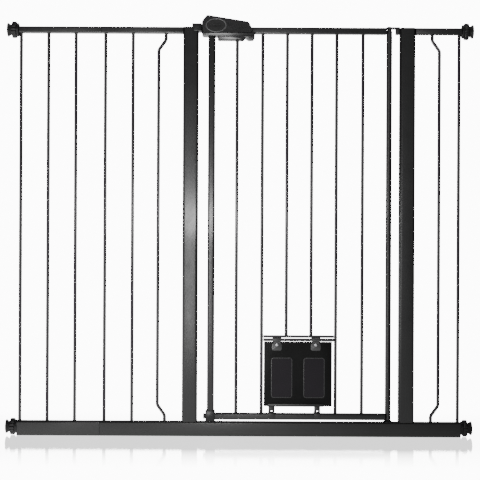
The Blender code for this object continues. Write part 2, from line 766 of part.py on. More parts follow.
# ---------------------------------------------------------------- fixed hinge and latch pieces
def top_hinge_bracket():
    """A strap over the hinge stile, with its pin, on a leg at the right post."""
    low = GATE_HEIGHT - STRAP_DROP
    high = low + STRAP_THICKNESS
    end = RIGHT_POST_INNER - GAP
    strap = box(
        "strap", (HINGE_X, -STRAP_RADIUS, low), (end, STRAP_RADIUS, high), STRAP_EDGE, 1
    )
    eye = cylinder("strap_eye", (HINGE_X, 0, low), (HINGE_X, 0, high), STRAP_RADIUS)
    leg = box(
        "strap_leg",
        (end - STRAP_LEG_WIDTH, -STRAP_LEG_DEPTH / 2, GATE_HEIGHT - RAIL_HEIGHT),
        (end, STRAP_LEG_DEPTH / 2, low + STRAP_THICKNESS / 2),
        STRAP_EDGE,
    )
    pin_radius = HINGE_STILE_RADIUS - HINGE_STILE_WALL - RUN
    pin = turned(
        "strap_pin",
        [
            (0, high + PIN_HEAD_HEIGHT),
            (pin_radius - PIN_HEAD_CHAMFER, high + PIN_HEAD_HEIGHT),
            (pin_radius, high - GAP),
            (pin_radius, high - TOP_PIN_LENGTH + PIN_POINT),
            (pin_radius - PIN_POINT, high - TOP_PIN_LENGTH),
            (0, high - TOP_PIN_LENGTH),
        ],
        False,
        (HINGE_X, 0, 0),
    )
    join(strap, eye, leg, pin)
    add_part(strap, "top_hinge_bracket", STEEL)


def lower_hinge_cup():
    """A flared cup on the bottom rail that carries the hinge core's tip."""
    low = BASE_HEIGHT + GAP
    high = HINGE_CUP_TOP_Z
    bore = SPINDLE_TIP_RADIUS + RUN
    flare_low = low + HINGE_CUP_RIM
    profile = [(0, low), (HINGE_CUP_RADIUS, low), (HINGE_CUP_RADIUS, flare_low)]
    curve_steps = 6
    for step in range(1, curve_steps + 1):
        share = step / curve_steps
        radius = HINGE_CUP_TOP_RADIUS
        radius += (HINGE_CUP_RADIUS - HINGE_CUP_TOP_RADIUS) * (1 - share) ** 2
        profile.append((radius, flare_low + (high - flare_low) * share))
    profile += [(bore, high), (bore, low + HINGE_CUP_FLOOR), (0, low + HINGE_CUP_FLOOR)]
    cup = turned("lower_hinge_cup", profile, False, (HINGE_X, 0, 0))
    add_part(cup, "lower_hinge_cup", STEEL)


def strike():
    """The catch over the left post's top corner: a fork, open at its top, for the bolt."""
    top = GATE_HEIGHT + STRIKE_RISE
    low = GATE_HEIGHT - STRIKE_DROP
    left = LEFT_POST_INNER - STRIKE_WIDTH_ON_POST
    right = LEFT_POST_INNER + GAP + STRIKE_SIDE
    half = BASE_DEPTH / 2 + GAP + STRIKE_LIP
    body = box("strike", (left, -half, low), (right, half, top), STRIKE_EDGE)
    seat = rounded_bar(
        "strike_seat",
        (LEFT_POST_X - POST_WIDTH / 2, -BASE_DEPTH / 2 - GAP, 0),
        (LEFT_POST_INNER + GAP, BASE_DEPTH / 2 + GAP, GATE_HEIGHT + GAP),
        2,
        POST_CORNER,
    )
    half_slot = BOLT_HALF_WIDTH + SLIP
    slot = box(
        "strike_slot",
        (left - OVERCUT, -half_slot, GATE_HEIGHT + GAP + STRIKE_FLOOR),
        (right + OVERCUT, half_slot, top + OVERCUT),
    )
    step = box(
        "strike_step",
        (left - OVERCUT, -half - OVERCUT, low - OVERCUT),
        (left + STRIKE_SHOULDER, half + OVERCUT, GATE_HEIGHT - STRIKE_CAP_DROP),
    )
    cut(body, seat, slot, step)
    add_part(body, "strike", PLASTIC)


def door_stop_stud():
    """A low stud on the bottom rail that holds the foot until the door is lifted."""
    low = BASE_HEIGHT + GAP
    profile = [
        (0, low),
        (STOP_PLATE_RADIUS, low),
        (STOP_PLATE_RADIUS, low + STOP_PLATE),
        (STOP_RADIUS, low + STOP_PLATE),
        (STOP_RADIUS, low + STOP_HEIGHT - STOP_DOME),
        (STOP_RADIUS - STOP_DOME, low + STOP_HEIGHT),
        (0, low + STOP_HEIGHT),
    ]
    stud = turned("door_stop_stud", profile, False, (LATCH_STILE_X, 0, 0))
    add_part(stud, "door_stop_stud", ZINC)


# ---------------------------------------------------------------- door
def hinge_core(parent):
    """The sprung core in the foot of the hinge stile, which turns with the door."""
    cup_low = BASE_HEIGHT + GAP
    tip_low = cup_low + HINGE_CUP_FLOOR + GAP
    shoulder = HINGE_CUP_TOP_Z + GAP
    top = shoulder + CORE_HEIGHT
    profile = [
        (0, top),
        (CORE_RADIUS - CORE_CHAMFER, top),
        (CORE_RADIUS, top - CORE_CHAMFER),
        (CORE_RADIUS, shoulder),
        (SPINDLE_TIP_RADIUS, shoulder),
        (SPINDLE_TIP_RADIUS, tip_low),
        (0, tip_low),
    ]
    core = turned("hinge_core", profile, False, (HINGE_X, 0, 0))
    add_part(core, "hinge_core", ZINC, parent)


def door_rails(parent):
    left = LATCH_STILE_X + LATCH_STILE_WIDTH / 2 + GAP
    right = HINGE_X - HINGE_STILE_RADIUS - GAP
    rails = (
        ("door_top_rail", GATE_HEIGHT - RAIL_HEIGHT),
        ("door_bottom_rail", DOOR_BOTTOM_Z),
    )
    for name, z_low in rails:
        rail = tube_along_x(name, left, right, z_low, RAIL_HEIGHT, RAIL_DEPTH, "")
        add_part(rail, name, STEEL, parent)


def latch_stile(parent):
    half = LATCH_STILE_WIDTH / 2
    low = (LATCH_STILE_X - half, -RAIL_DEPTH / 2, DOOR_BOTTOM_Z)
    high = (LATCH_STILE_X + half, RAIL_DEPTH / 2, GATE_HEIGHT)
    stile = rounded_bar("latch_stile", low, high, 2, LATCH_STILE_CORNER)
    hollow = rounded_bar(
        "latch_stile_hollow",
        (low[0] + TUBE_WALL, low[1] + TUBE_WALL, 0),
        (high[0] - TUBE_WALL, high[1] - TUBE_WALL, GATE_HEIGHT - TUBE_WALL),
        2,
        LATCH_STILE_CORNER - TUBE_WALL,
    )
    cut(stile, hollow)
    add_part(stile, "latch_stile", STEEL, parent)


def hinge_stile(parent):
    low = DOOR_BOTTOM_Z
    inner = HINGE_STILE_RADIUS - HINGE_STILE_WALL
    profile = [
        (HINGE_STILE_RADIUS, STILE_TOP_Z - STILE_CHAMFER),
        (HINGE_STILE_RADIUS, low),
        (inner, low),
        (inner, STILE_TOP_Z),
        (HINGE_STILE_RADIUS - STILE_CHAMFER, STILE_TOP_Z),
    ]
    stile = turned("hinge_stile", profile, True, (HINGE_X, 0, 0))
    add_part(stile, "hinge_stile", STEEL, parent)


def door_bars(parent):
    low = DOOR_RAIL_TOP_Z + GAP
    high = GATE_HEIGHT - RAIL_HEIGHT - GAP
    bay_right = FLAP_BAY_LEFT + FLAP_BAY_WIDTH
    full = (
        (LATCH_STILE_X + FLAP_BAY_LEFT) / 2,
        FLAP_BAY_LEFT,
        bay_right,
        (bay_right + HINGE_X) / 2,
    )
    for number, x in enumerate(full, 1):
        straight_bar(f"door_bar_{number}", x, low, high, parent)
    for number in (1, 2):
        x = FLAP_BAY_LEFT + FLAP_BAY_WIDTH * number / 3
        straight_bar(f"short_bar_{number}", x, HEADER_Z + HEADER_RADIUS + GAP, high, parent)


def flap_header(parent):
    left = FLAP_BAY_LEFT + BAR_RADIUS + GAP
    right = FLAP_BAY_LEFT + FLAP_BAY_WIDTH - BAR_RADIUS - GAP
    header = wire("flap_header", ((left, 0, HEADER_Z), (right, 0, HEADER_Z)), HEADER_RADIUS)
    add_part(header, "flap_header", STEEL, parent)
    ends = ((left, FLAP_Y, HINGE_ROD_Z), (right, FLAP_Y, HINGE_ROD_Z))
    rod = wire("flap_hinge_rod", ends, HINGE_ROD_RADIUS)
    add_part(rod, "flap_hinge_rod", DARK_METAL, parent)


def door_foot(parent):
    """The plastic shoe on the latch stile, with a recess that drops over the stop stud."""
    half = LATCH_STILE_WIDTH / 2
    left = LATCH_STILE_X - half - FOOT_LEFT_WALL
    right = LATCH_STILE_X + half + FOOT_WALL
    depth = RAIL_DEPTH / 2 + FOOT_WALL
    low = BASE_HEIGHT + GAP + STOP_PLATE + GAP
    top = DOOR_BOTTOM_Z + FOOT_TOP
    body = box("door_foot", (left, -depth, low), (right, depth, top), FOOT_EDGE)
    knob_z = DOOR_BOTTOM_Z + RAIL_HEIGHT / 2
    knob = turned(
        "foot_knob",
        [
            (0, FOOT_KNOB_LENGTH),
            (FOOT_KNOB_RADIUS - FOOT_KNOB_CHAMFER, FOOT_KNOB_LENGTH),
            (FOOT_KNOB_RADIUS, FOOT_KNOB_LENGTH - FOOT_KNOB_CHAMFER),
            (FOOT_KNOB_RADIUS, -FOOT_LEFT_WALL / 2),
            (0, -FOOT_LEFT_WALL / 2),
        ],
        False,
        (left, 0, knob_z),
        (-1, 0, 0),
    )
    stile_seat = rounded_bar(
        "foot_stile_seat",
        (LATCH_STILE_X - half - GAP, -RAIL_DEPTH / 2 - GAP, DOOR_BOTTOM_Z - GAP),
        (LATCH_STILE_X + half + GAP, RAIL_DEPTH / 2 + GAP, top + OVERCUT),
        2,
        LATCH_STILE_CORNER,
    )
    rail_seat = box(
        "foot_rail_seat",
        (LATCH_STILE_X, -RAIL_DEPTH / 2 - GAP, DOOR_BOTTOM_Z - GAP),
        (right + OVERCUT, RAIL_DEPTH / 2 + GAP, DOOR_RAIL_TOP_Z + GAP),
    )
    recess_half = STOP_RADIUS + STOP_RUN
    recess_reach = STOP_RADIUS + STOP_RUN_ALONG
    recess = box(
        "foot_recess",
        (LATCH_STILE_X - recess_reach, -recess_half, low - OVERCUT),
        (LATCH_STILE_X + recess_reach, recess_half, low + STOP_HEIGHT),
    )
    join(body, knob)
    cut(body, stile_seat, rail_seat, recess)
    add_part(body, "door_foot", PLASTIC, parent)


def ellipse(centre_x, centre_z, half_width, half_height):
    points = []
    for step in range(ELLIPSE_STEPS):
        angle = 2 * math.pi * step / ELLIPSE_STEPS
        x = centre_x + half_width * math.cos(angle)
        points.append((x, centre_z + half_height * math.sin(angle)))
    return points


def handle_outline(inset, low):
    """The cover's front outline, moved inwards by inset at its ends and top."""
    left = LATCH_STILE_X + HANDLE_LEFT + inset
    right = LATCH_STILE_X + HANDLE_RIGHT - inset
    top_left = GATE_HEIGHT + HANDLE_TOP_LEFT - inset
    top_right = GATE_HEIGHT + HANDLE_TOP_RIGHT - inset
    corners = [
        (left, low),
        (left, GATE_HEIGHT + HANDLE_SHOULDER),
        (left + HANDLE_INSET_LEFT, top_left),
        (right - HANDLE_INSET_RIGHT, top_right),
        (right, GATE_HEIGHT - HANDLE_CHEEK),
        (right - HANDLE_TUCK, low),
    ]
    return [(p.x, p.y) for p in rounded_path(corners, (0, *HANDLE_CORNERS, 0), True)]


def handle_cover(parent):
    depth = HANDLE_HALF_DEPTH
    low = GATE_HEIGHT - HANDLE_SEAM_DROP
    button_x = LATCH_STILE_X + BUTTON_X
    button_z = GATE_HEIGHT + BUTTON_RISE
    cover = prism("handle_cover", handle_outline(0, low), -depth, depth)
    rim_outline = ellipse(
        button_x, button_z, BUTTON_HALF_WIDTH + BUTTON_RIM, BUTTON_HALF_HEIGHT + BUTTON_RIM
    )
    rim = prism("button_rim", rim_outline, -depth - BUTTON_RIM_HEIGHT, -depth + GAP)
    inner_depth = depth - HANDLE_WALL
    inner_outline = handle_outline(HANDLE_WALL, low - OVERCUT)
    inner = prism("handle_hollow", inner_outline, -inner_depth, inner_depth)
    hole = prism(
        "button_hole",
        ellipse(button_x, button_z, BUTTON_HALF_WIDTH + SLIP, BUTTON_HALF_HEIGHT + SLIP),
        -depth - OVERCUT,
        -inner_depth + OVERCUT,
    )
    rail_slot = box(
        "handle_rail_slot",
        (LATCH_STILE_X + HANDLE_RAIL_START, -RAIL_DEPTH / 2 - SLIP, low - OVERCUT),
        (LATCH_STILE_X + HANDLE_RIGHT + OVERCUT, RAIL_DEPTH / 2 + SLIP, GATE_HEIGHT + SLIP),
    )
    half_slot = BOLT_HALF_WIDTH + SLIP
    bolt_slot = box(
        "handle_bolt_slot",
        (
            LATCH_STILE_X + HANDLE_LEFT - OVERCUT,
            -half_slot,
            BOLT_Z - BOLT_THICKNESS / 2 - SLIP,
        ),
        (LATCH_STILE_X, half_slot, BOLT_Z + BOLT_THICKNESS / 2 + SLIP),
    )
    round_edges(cover, HANDLE_EDGE, 2, 60)
    join(cover, rim)
    cut(cover, inner, hole, rail_slot, bolt_slot)
    add_part(cover, "handle_cover", PLASTIC, parent)


def grip_outline(inset, top):
    """The lower shell's front outline: a shallow boat with a round nose at its right end."""
    left = LATCH_STILE_X + HANDLE_LEFT + inset
    right = LATCH_STILE_X + HANDLE_RIGHT + GRIP_NOSE_REACH - inset
    corners = [
        (left, top),
        (left, GATE_HEIGHT - GRIP_LOW_LEFT + inset),
        (right - GRIP_NOSE_START, GATE_HEIGHT - GRIP_LOW_RIGHT + inset),
        (right - GRIP_NOSE_LEFT, GATE_HEIGHT - GRIP_NOSE_LOW + inset),
        (right - GRIP_NOSE_RIGHT, GATE_HEIGHT - GRIP_NOSE_LOW + inset),
        (right, GATE_HEIGHT - GRIP_NOSE_LOW + GRIP_NOSE_RISE),
        (right, top),
    ]
    return [(p.x, p.y) for p in rounded_path(corners, (0, *GRIP_CORNERS, 0), True)]


def hull_cutter(side, y, z):
    """A block whose near face leans inwards below the height z, to one side of the handle."""
    reach = 4 * HANDLE_HALF_DEPTH
    span = 2 * (HANDLE_RIGHT - HANDLE_LEFT)
    low = (LATCH_STILE_X - span, min(0, side * reach), -reach)
    high = (LATCH_STILE_X + span, max(0, side * reach), reach / 2)
    block = box(f"grip_hull_{side}", low, high)
    lean = Matrix.Rotation(math.radians(-GRIP_LEAN * side), 4, "X")
    block.matrix_world = Matrix.Translation((0, side * y, z)) @ lean @ block.matrix_world
    return block


def handle_grip(parent):
    depth = HANDLE_HALF_DEPTH
    top = GATE_HEIGHT - HANDLE_SEAM_DROP - GAP
    above = top + OVERCUT
    below = GATE_HEIGHT - GRIP_NOSE_LOW - OVERCUT
    grip = prism("handle_grip", grip_outline(0, top), -depth, depth)
    for side in (-1, 1):
        cut(grip, hull_cutter(side, depth, top - GRIP_LIP))
    hollow_depth = depth - GRIP_WALL
    hollow = prism("grip_hollow", grip_outline(GRIP_FLOOR, above), -hollow_depth, hollow_depth)
    half = LATCH_STILE_WIDTH / 2
    stile_hole = rounded_bar(
        "grip_stile_hole",
        (LATCH_STILE_X - half - SLIP, -RAIL_DEPTH / 2 - SLIP, below),
        (LATCH_STILE_X + half + SLIP, RAIL_DEPTH / 2 + SLIP, above),
        2,
        LATCH_STILE_CORNER,
    )
    bar_x = (LATCH_STILE_X + FLAP_BAY_LEFT) / 2
    bar_hole = cylinder(
        "grip_bar_hole", (bar_x, 0, below), (bar_x, 0, above), BAR_RADIUS + SLIP
    )
    slot_left = LATCH_STILE_X + TRIGGER_LEFT - SLIP
    trigger_slot = box(
        "grip_trigger_slot",
        (slot_left, -TRIGGER_HALF_DEPTH - SLIP, below),
        (slot_left + TRIGGER_LENGTH + 2 * SLIP, TRIGGER_HALF_DEPTH + SLIP, above),
    )
    cut(grip, hollow, stile_hole, bar_hole, trigger_slot)
    add_part(grip, "handle_grip", PLASTIC, parent)


def latch_button(parent):
    x = LATCH_STILE_X + BUTTON_X
    z = GATE_HEIGHT + BUTTON_RISE
    front = -HANDLE_HALF_DEPTH - BUTTON_PROUD
    flange_front = -HANDLE_HALF_DEPTH + HANDLE_WALL + GAP
    flange_back = flange_front + BUTTON_FLANGE_THICKNESS
    back = flange_back - GAP
    face = prism(
        "latch_button", ellipse(x, z, BUTTON_HALF_WIDTH, BUTTON_HALF_HEIGHT), front, back
    )
    round_edges(face, BUTTON_EDGE, 1, 60)
    flange = prism(
        "button_flange",
        ellipse(x, z, BUTTON_HALF_WIDTH + BUTTON_FLANGE, BUTTON_HALF_HEIGHT + BUTTON_FLANGE),
        flange_front,
        flange_back,
    )
    join(face, flange)
    add_part(face, "latch_button", PLASTIC, parent)


def latch_bolt(parent):
    tip = LEFT_POST_INNER - BOLT_REACH
    bolt = box(
        "latch_bolt",
        (tip, -BOLT_HALF_WIDTH, BOLT_Z - BOLT_THICKNESS / 2),
        (tip + BOLT_LENGTH, BOLT_HALF_WIDTH, BOLT_Z + BOLT_THICKNESS / 2),
        BOLT_EDGE,
    )
    add_part(bolt, "latch_bolt", ZINC, parent)


def grip_floor_z(x):
    """Height of the lower shell's inner floor at x from the latch stile's centre line."""
    run = HANDLE_RIGHT + GRIP_NOSE_REACH - GRIP_NOSE_START - HANDLE_LEFT
    slope = (GRIP_LOW_RIGHT - GRIP_LOW_LEFT) / run
    return GATE_HEIGHT - GRIP_LOW_LEFT - slope * (x - HANDLE_LEFT) + GRIP_FLOOR


def latch_trigger(parent):
    """The lever under the grip: a rounded paddle round a door bar, hung on a flange."""
    left = LATCH_STILE_X + TRIGGER_LEFT
    right = left + TRIGGER_LENGTH
    flange_start = TRIGGER_LEFT + TRIGGER_LENGTH - TRIGGER_FLANGE_LENGTH
    flange_low = grip_floor_z(flange_start) + GAP
    flange_high = flange_low + TRIGGER_FLANGE_THICKNESS
    low = GATE_HEIGHT - TRIGGER_LOW
    corners = [(left, low), (right, low), (right, flange_high), (left, flange_high)]
    outline = [(p.x, p.y) for p in rounded_path(corners, (*TRIGGER_CORNERS, 0, 0), True)]
    paddle = prism("latch_trigger", outline, -TRIGGER_HALF_DEPTH, TRIGGER_HALF_DEPTH)
    round_edges(paddle, TRIGGER_EDGE, 1, 60)
    flange = box(
        "trigger_flange",
        (LATCH_STILE_X + flange_start, -TRIGGER_HALF_DEPTH - TRIGGER_FLANGE, flange_low),
        (right + TRIGGER_FLANGE, TRIGGER_HALF_DEPTH + TRIGGER_FLANGE, flange_high),
    )
    bar_x = (LATCH_STILE_X + FLAP_BAY_LEFT) / 2
    bar_hole = cylinder(
        "trigger_bar_hole",
        (bar_x, 0, low - OVERCUT),
        (bar_x, 0, GATE_HEIGHT),
        BAR_RADIUS + SLIP,
    )
    join(paddle, flange)
    cut(paddle, bar_hole)
    add_part(paddle, "latch_trigger", PLASTIC, parent)


# ---------------------------------------------------------------- pet flap
def rounded_rectangle(x_low, x_high, z_low, z_high, radius):
    corners = [(x_low, z_low), (x_high, z_low), (x_high, z_high), (x_low, z_high)]
    return [(p.x, p.y) for p in rounded_path(corners, [radius] * 4, True)]


def window_outline(side, inset):
    middle = FLAP_X + side * WINDOW_SPACING / 2
    return rounded_rectangle(
        middle - WINDOW_WIDTH / 2 + inset,
        middle + WINDOW_WIDTH / 2 - inset,
        WINDOW_BOTTOM_Z + inset,
        WINDOW_BOTTOM_Z + WINDOW_HEIGHT - inset,
        WINDOW_CORNER - inset,
    )


def flap_panel(parent):
    front = FLAP_Y - FLAP_THICKNESS / 2
    back = FLAP_Y + FLAP_THICKNESS / 2
    top = HINGE_ROD_Z - HINGE_ROD_RADIUS - FLAP_TOP_GAP
    panel = prism(
        "flap_panel",
        rounded_rectangle(
            FLAP_X - FLAP_WIDTH / 2, FLAP_X + FLAP_WIDTH / 2, FLAP_BOTTOM_Z, top, FLAP_CORNER
        ),
        front,
        back,
    )
    for side in (-1, 1):
        opening = prism(
            f"window_opening_{side}", window_outline(side, 0), front - OVERCUT, back + OVERCUT
        )
        cut(panel, opening)
    screw_z = HINGE_ROD_Z - CLIP_SCREW_DROP
    for number, offset in enumerate(CLIP_OFFSETS):
        x = FLAP_X + offset
        hole = cylinder(
            f"panel_screw_hole_{number}",
            (x, front - OVERCUT, screw_z),
            (x, back + OVERCUT, screw_z),
            SCREW_RADIUS + GAP,
        )
        cut(panel, hole)
    add_part(panel, "flap_panel", STEEL, parent)


def flap_windows(parent):
    for side, name in ((-1, "flap_window_left"), (1, "flap_window_right")):
        front = FLAP_Y - FLAP_THICKNESS / 2 + WINDOW_SET_BACK
        pane = prism(name, window_outline(side, GAP), front, front + WINDOW_THICKNESS)
        add_part(pane, name, WINDOW, parent)


def clip_path():
    """The clip's line in (y, z): from behind the rod, over it and down the panel's front."""
    reach = HINGE_ROD_RADIUS + RUN + CLIP_THICKNESS / 2
    path = []
    steps = 12
    start = math.radians(CLIP_CURL_START)
    end = math.radians(CLIP_CURL_END)
    for step in range(steps + 1):
        angle = start + (end - start) * step / steps
        path.append((FLAP_Y + reach * math.cos(angle), reach * math.sin(angle)))
    front = FLAP_Y - FLAP_THICKNESS / 2 - GAP - CLIP_THICKNESS / 2
    path.append((front, -HINGE_ROD_RADIUS - CLIP_STRAIGHT))
    path.append((front, -CLIP_DROP))
    return path


def flap_clips(parent):
    names = ("flap_clip_left", "flap_clip_right")
    for name, offset in zip(names, CLIP_OFFSETS):
        x = FLAP_X + offset
        clip = bent_sheet(
            name, clip_path(), CLIP_WIDTH / 2, CLIP_THICKNESS, (x, 0, HINGE_ROD_Z)
        )
        screw_z = HINGE_ROD_Z - CLIP_SCREW_DROP
        hole = cylinder(
            name + "_hole",
            (x, FLAP_Y - FLAP_THICKNESS - CLIP_THICKNESS - OVERCUT, screw_z),
            (x, FLAP_Y, screw_z),
            SCREW_RADIUS + GAP,
        )
        cut(clip, hole)
        add_part(clip, name, DARK_METAL, parent)


def flap_screws(parent):
    clip_front = FLAP_Y - FLAP_THICKNESS / 2 - GAP - CLIP_THICKNESS
    tail = FLAP_Y + FLAP_THICKNESS / 2 + SCREW_TAIL
    length = tail - clip_front
    names = ("flap_screw_left", "flap_screw_right")
    for name, offset in zip(names, CLIP_OFFSETS):
        dome = []
        steps = 5
        for step in range(steps + 1):
            angle = math.radians(90) * (1 - step / steps)
            radius = SCREW_HEAD_RADIUS * math.cos(angle)
            dome.append((radius, GAP + SCREW_HEAD_HEIGHT * math.sin(angle)))
        dome[0] = (0, GAP + SCREW_HEAD_HEIGHT)
        profile = dome + [(SCREW_RADIUS, GAP), (SCREW_RADIUS, -length), (0, -length)]
        place = (FLAP_X + offset, clip_front, HINGE_ROD_Z - CLIP_SCREW_DROP)
        screw = turned(name, profile, False, place, (0, -1, 0))
        add_part(screw, name, ZINC, parent)


def flap_lock(parent):
    """A strip on the flap's lower edge with two saddles that straddle the door's rail."""
    strip_back = FLAP_Y - FLAP_THICKNESS / 2 - GAP
    strip_front = strip_back - LOCK_THICKNESS
    strip_low = FLAP_BOTTOM_Z - LOCK_STRIP_LOW
    strip_mid = FLAP_X + LOCK_STRIP_CENTRE
    strip = box(
        "flap_lock",
        (strip_mid - LOCK_STRIP_LENGTH / 2, strip_front, strip_low),
        (strip_mid + LOCK_STRIP_LENGTH / 2, strip_back, strip_low + LOCK_STRIP_HEIGHT),
    )
    bridge_low = DOOR_RAIL_TOP_Z + LOCK_BRIDGE_RISE
    leg_low = DOOR_RAIL_TOP_Z - LOCK_LEG_BELOW
    inner = RAIL_DEPTH / 2 + SLIP
    for number, offset in enumerate(LOCK_OFFSETS):
        left = FLAP_X + offset - LOCK_TAB_WIDTH / 2
        right = left + LOCK_TAB_WIDTH
        hanger = box(
            f"lock_hanger_{number}",
            (left, strip_front, bridge_low),
            (right, strip_back, strip_low + LOCK_OVERLAP),
        )
        bridge = box(
            f"lock_bridge_{number}",
            (left, -inner - LOCK_THICKNESS, bridge_low),
            (right, inner + LOCK_THICKNESS, bridge_low + LOCK_THICKNESS),
        )
        front_leg = box(
            f"lock_front_leg_{number}",
            (left, -inner - LOCK_THICKNESS, leg_low),
            (right, -inner, bridge_low + LOCK_THICKNESS / 2),
        )
        back_leg = box(
            f"lock_back_leg_{number}",
            (left, inner, leg_low),
            (right, inner + LOCK_THICKNESS, bridge_low + LOCK_THICKNESS / 2),
        )
        middle = (left + right) / 2
        hole_z = bridge_low + LOCK_THICKNESS + LOCK_HOLE_RISE
        hole = cylinder(
            f"lock_hole_{number}",
            (middle, strip_front - OVERCUT, hole_z),
            (middle, strip_back + OVERCUT, hole_z),
            LOCK_HOLE_RADIUS,
            16,
        )
        join(strip, hanger, bridge, front_leg, back_leg)
        cut(strip, hole)
    add_part(strip, "flap_lock", STEEL, parent)


def build_frame():
    fixed_rails()
    extension_rails()
    post("left_post", LEFT_POST_X)
    post("right_post", RIGHT_POST_X)
    fixed_bars()
    wall_fittings()
    top_hinge_bracket()
    lower_hinge_cup()
    strike()
    door_stop_stud()


def build_door():
    door = axis_empty("door_axis", (HINGE_X, 0, 0))
    hinge_core(door)
    door_rails(door)
    latch_stile(door)
    hinge_stile(door)
    door_bars(door)
    flap_header(door)
    door_foot(door)
    handle_cover(door)
    handle_grip(door)
    latch_button(door)
    latch_bolt(door)
    latch_trigger(door)


def build_flap():
    flap = axis_empty("flap_axis", (FLAP_X, FLAP_Y, HINGE_ROD_Z))
    flap_panel(flap)
    flap_windows(flap)
    flap_clips(flap)
    flap_screws(flap)
    flap_lock(flap)


build_frame()
build_door()
build_flap()
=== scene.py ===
"""The look of the pet gate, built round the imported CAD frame."""

import json
import math

import bmesh
import bpy
from mathutils import Matrix, Vector

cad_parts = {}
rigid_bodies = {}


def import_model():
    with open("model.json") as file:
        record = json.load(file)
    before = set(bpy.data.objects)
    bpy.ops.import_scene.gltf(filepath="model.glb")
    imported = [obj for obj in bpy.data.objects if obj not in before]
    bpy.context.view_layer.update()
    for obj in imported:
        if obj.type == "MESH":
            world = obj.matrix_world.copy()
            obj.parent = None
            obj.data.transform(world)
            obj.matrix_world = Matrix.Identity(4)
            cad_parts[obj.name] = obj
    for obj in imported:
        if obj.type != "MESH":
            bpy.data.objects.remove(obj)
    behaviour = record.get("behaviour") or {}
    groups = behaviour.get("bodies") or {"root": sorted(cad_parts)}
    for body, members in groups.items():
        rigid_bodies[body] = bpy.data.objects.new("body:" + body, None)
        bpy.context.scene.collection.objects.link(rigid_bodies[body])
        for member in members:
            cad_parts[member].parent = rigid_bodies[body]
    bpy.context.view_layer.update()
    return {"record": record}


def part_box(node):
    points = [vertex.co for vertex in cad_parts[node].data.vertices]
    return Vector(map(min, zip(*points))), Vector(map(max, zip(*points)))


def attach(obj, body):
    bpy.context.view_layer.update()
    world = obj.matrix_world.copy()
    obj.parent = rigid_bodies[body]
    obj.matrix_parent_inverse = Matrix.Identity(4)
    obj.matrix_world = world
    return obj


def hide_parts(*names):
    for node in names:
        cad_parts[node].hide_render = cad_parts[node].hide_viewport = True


# Places, outlines and the radii of bars are in metres. Turned profiles, moulding sections,
# roundings and insets are in millimetres.
MM = 0.001

for leftover in list(bpy.data.objects):
    bpy.data.objects.remove(leftover, do_unlink=True)

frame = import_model()
NODE_BODY = {}
for body_name, members in frame["record"]["behaviour"]["bodies"].items():
    for member in members:
        NODE_BODY[member] = body_name
NODE_SLOT = {row["node"]: row["material_slot"] for row in frame["record"]["subparts"]}

Y_AXIS, Z_AXIS = (0, 1, 0), (0, 0, 1)
RAIL_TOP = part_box("left_post")[1].z
BAR_RADIUS = (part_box("door_bar_1")[1].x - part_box("door_bar_1")[0].x) / 2
FRAME_BARS = [f"extension_bar_{n}" for n in (1, 2, 3)]
FRAME_BARS += ["frame_bar_1", "frame_bar_2", "frame_bar_right"]
DOOR_BARS = [f"door_bar_{n}" for n in (1, 2, 3, 4)]
SHORT_BARS = ["short_bar_1", "short_bar_2"]
JOGGED_BARS = (("jogged_bar_left", 1), ("jogged_bar_right", -1))  # the side of their post
HELPERS = bpy.data.collections.new("helpers")
bpy.context.scene.collection.children.link(HELPERS)


def middle_of(node):
    low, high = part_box(node)
    return (low + high) / 2


def size_mm(node):
    low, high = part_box(node)
    return (high - low) / MM


def foot_of(node):
    """The low end of an upright round piece's axis."""
    return middle_of(node).x, 0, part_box(node)[0].z


# ---------------------------------------------------------------- mesh helpers
def new_object(name, mesh, helper=False):
    obj = bpy.data.objects.new(name, mesh)
    home = HELPERS if helper else bpy.context.scene.collection
    home.objects.link(obj)
    return obj


def from_bmesh(name, bm, helper=False):
    bmesh.ops.recalc_face_normals(bm, faces=bm.faces)
    mesh = bpy.data.meshes.new(name)
    bm.to_mesh(mesh)
    bm.free()
    return new_object(name, mesh, helper)


def evaluated_copy(obj):
    """The object's evaluated mesh, in world space."""
    bpy.context.view_layer.update()
    graph = bpy.context.evaluated_depsgraph_get()
    mesh = bpy.data.meshes.new_from_object(obj.evaluated_get(graph))
    mesh.transform(obj.matrix_world)
    return mesh


def baked(obj):
    """Replaces an object by its evaluated mesh with every modifier applied."""
    mesh = evaluated_copy(obj)
    name = obj.name
    bpy.data.objects.remove(obj, do_unlink=True)
    bm = bmesh.new()
    bm.from_mesh(mesh)
    bpy.data.meshes.remove(mesh)
    bmesh.ops.remove_doubles(bm, verts=bm.verts, dist=0.004 * MM)
    return from_bmesh(name, bm)


def bevelled(obj, width, angle=35):
    """Rounds the edges sharper than angle by a width in mm."""
    modifier = obj.modifiers.new("Bevel", "BEVEL")
    modifier.width = width * MM
    modifier.segments = 2
    modifier.limit_method = "ANGLE"
    modifier.angle_limit = math.radians(angle)
    return baked(obj)


def cut(obj, cutters):
    """Takes the cutters away from the object, and removes them."""
    for cutter in cutters:
        modifier = obj.modifiers.new("Boolean", "BOOLEAN")
        modifier.operation = "DIFFERENCE"
        modifier.object = cutter
        modifier.solver = "EXACT"
    made = baked(obj)
    for cutter in cutters:
        bpy.data.objects.remove(cutter, do_unlink=True)
    return made


def merged(name, pieces):
    """Several objects as one."""
    bm = bmesh.new()
    for piece in pieces:
        mesh = evaluated_copy(piece)
        bm.from_mesh(mesh)
        bpy.data.meshes.remove(mesh)
        bpy.data.objects.remove(piece, do_unlink=True)
    mesh = bpy.data.meshes.new(name)
    bm.to_mesh(mesh)
    bm.free()
    return new_object(name, mesh)


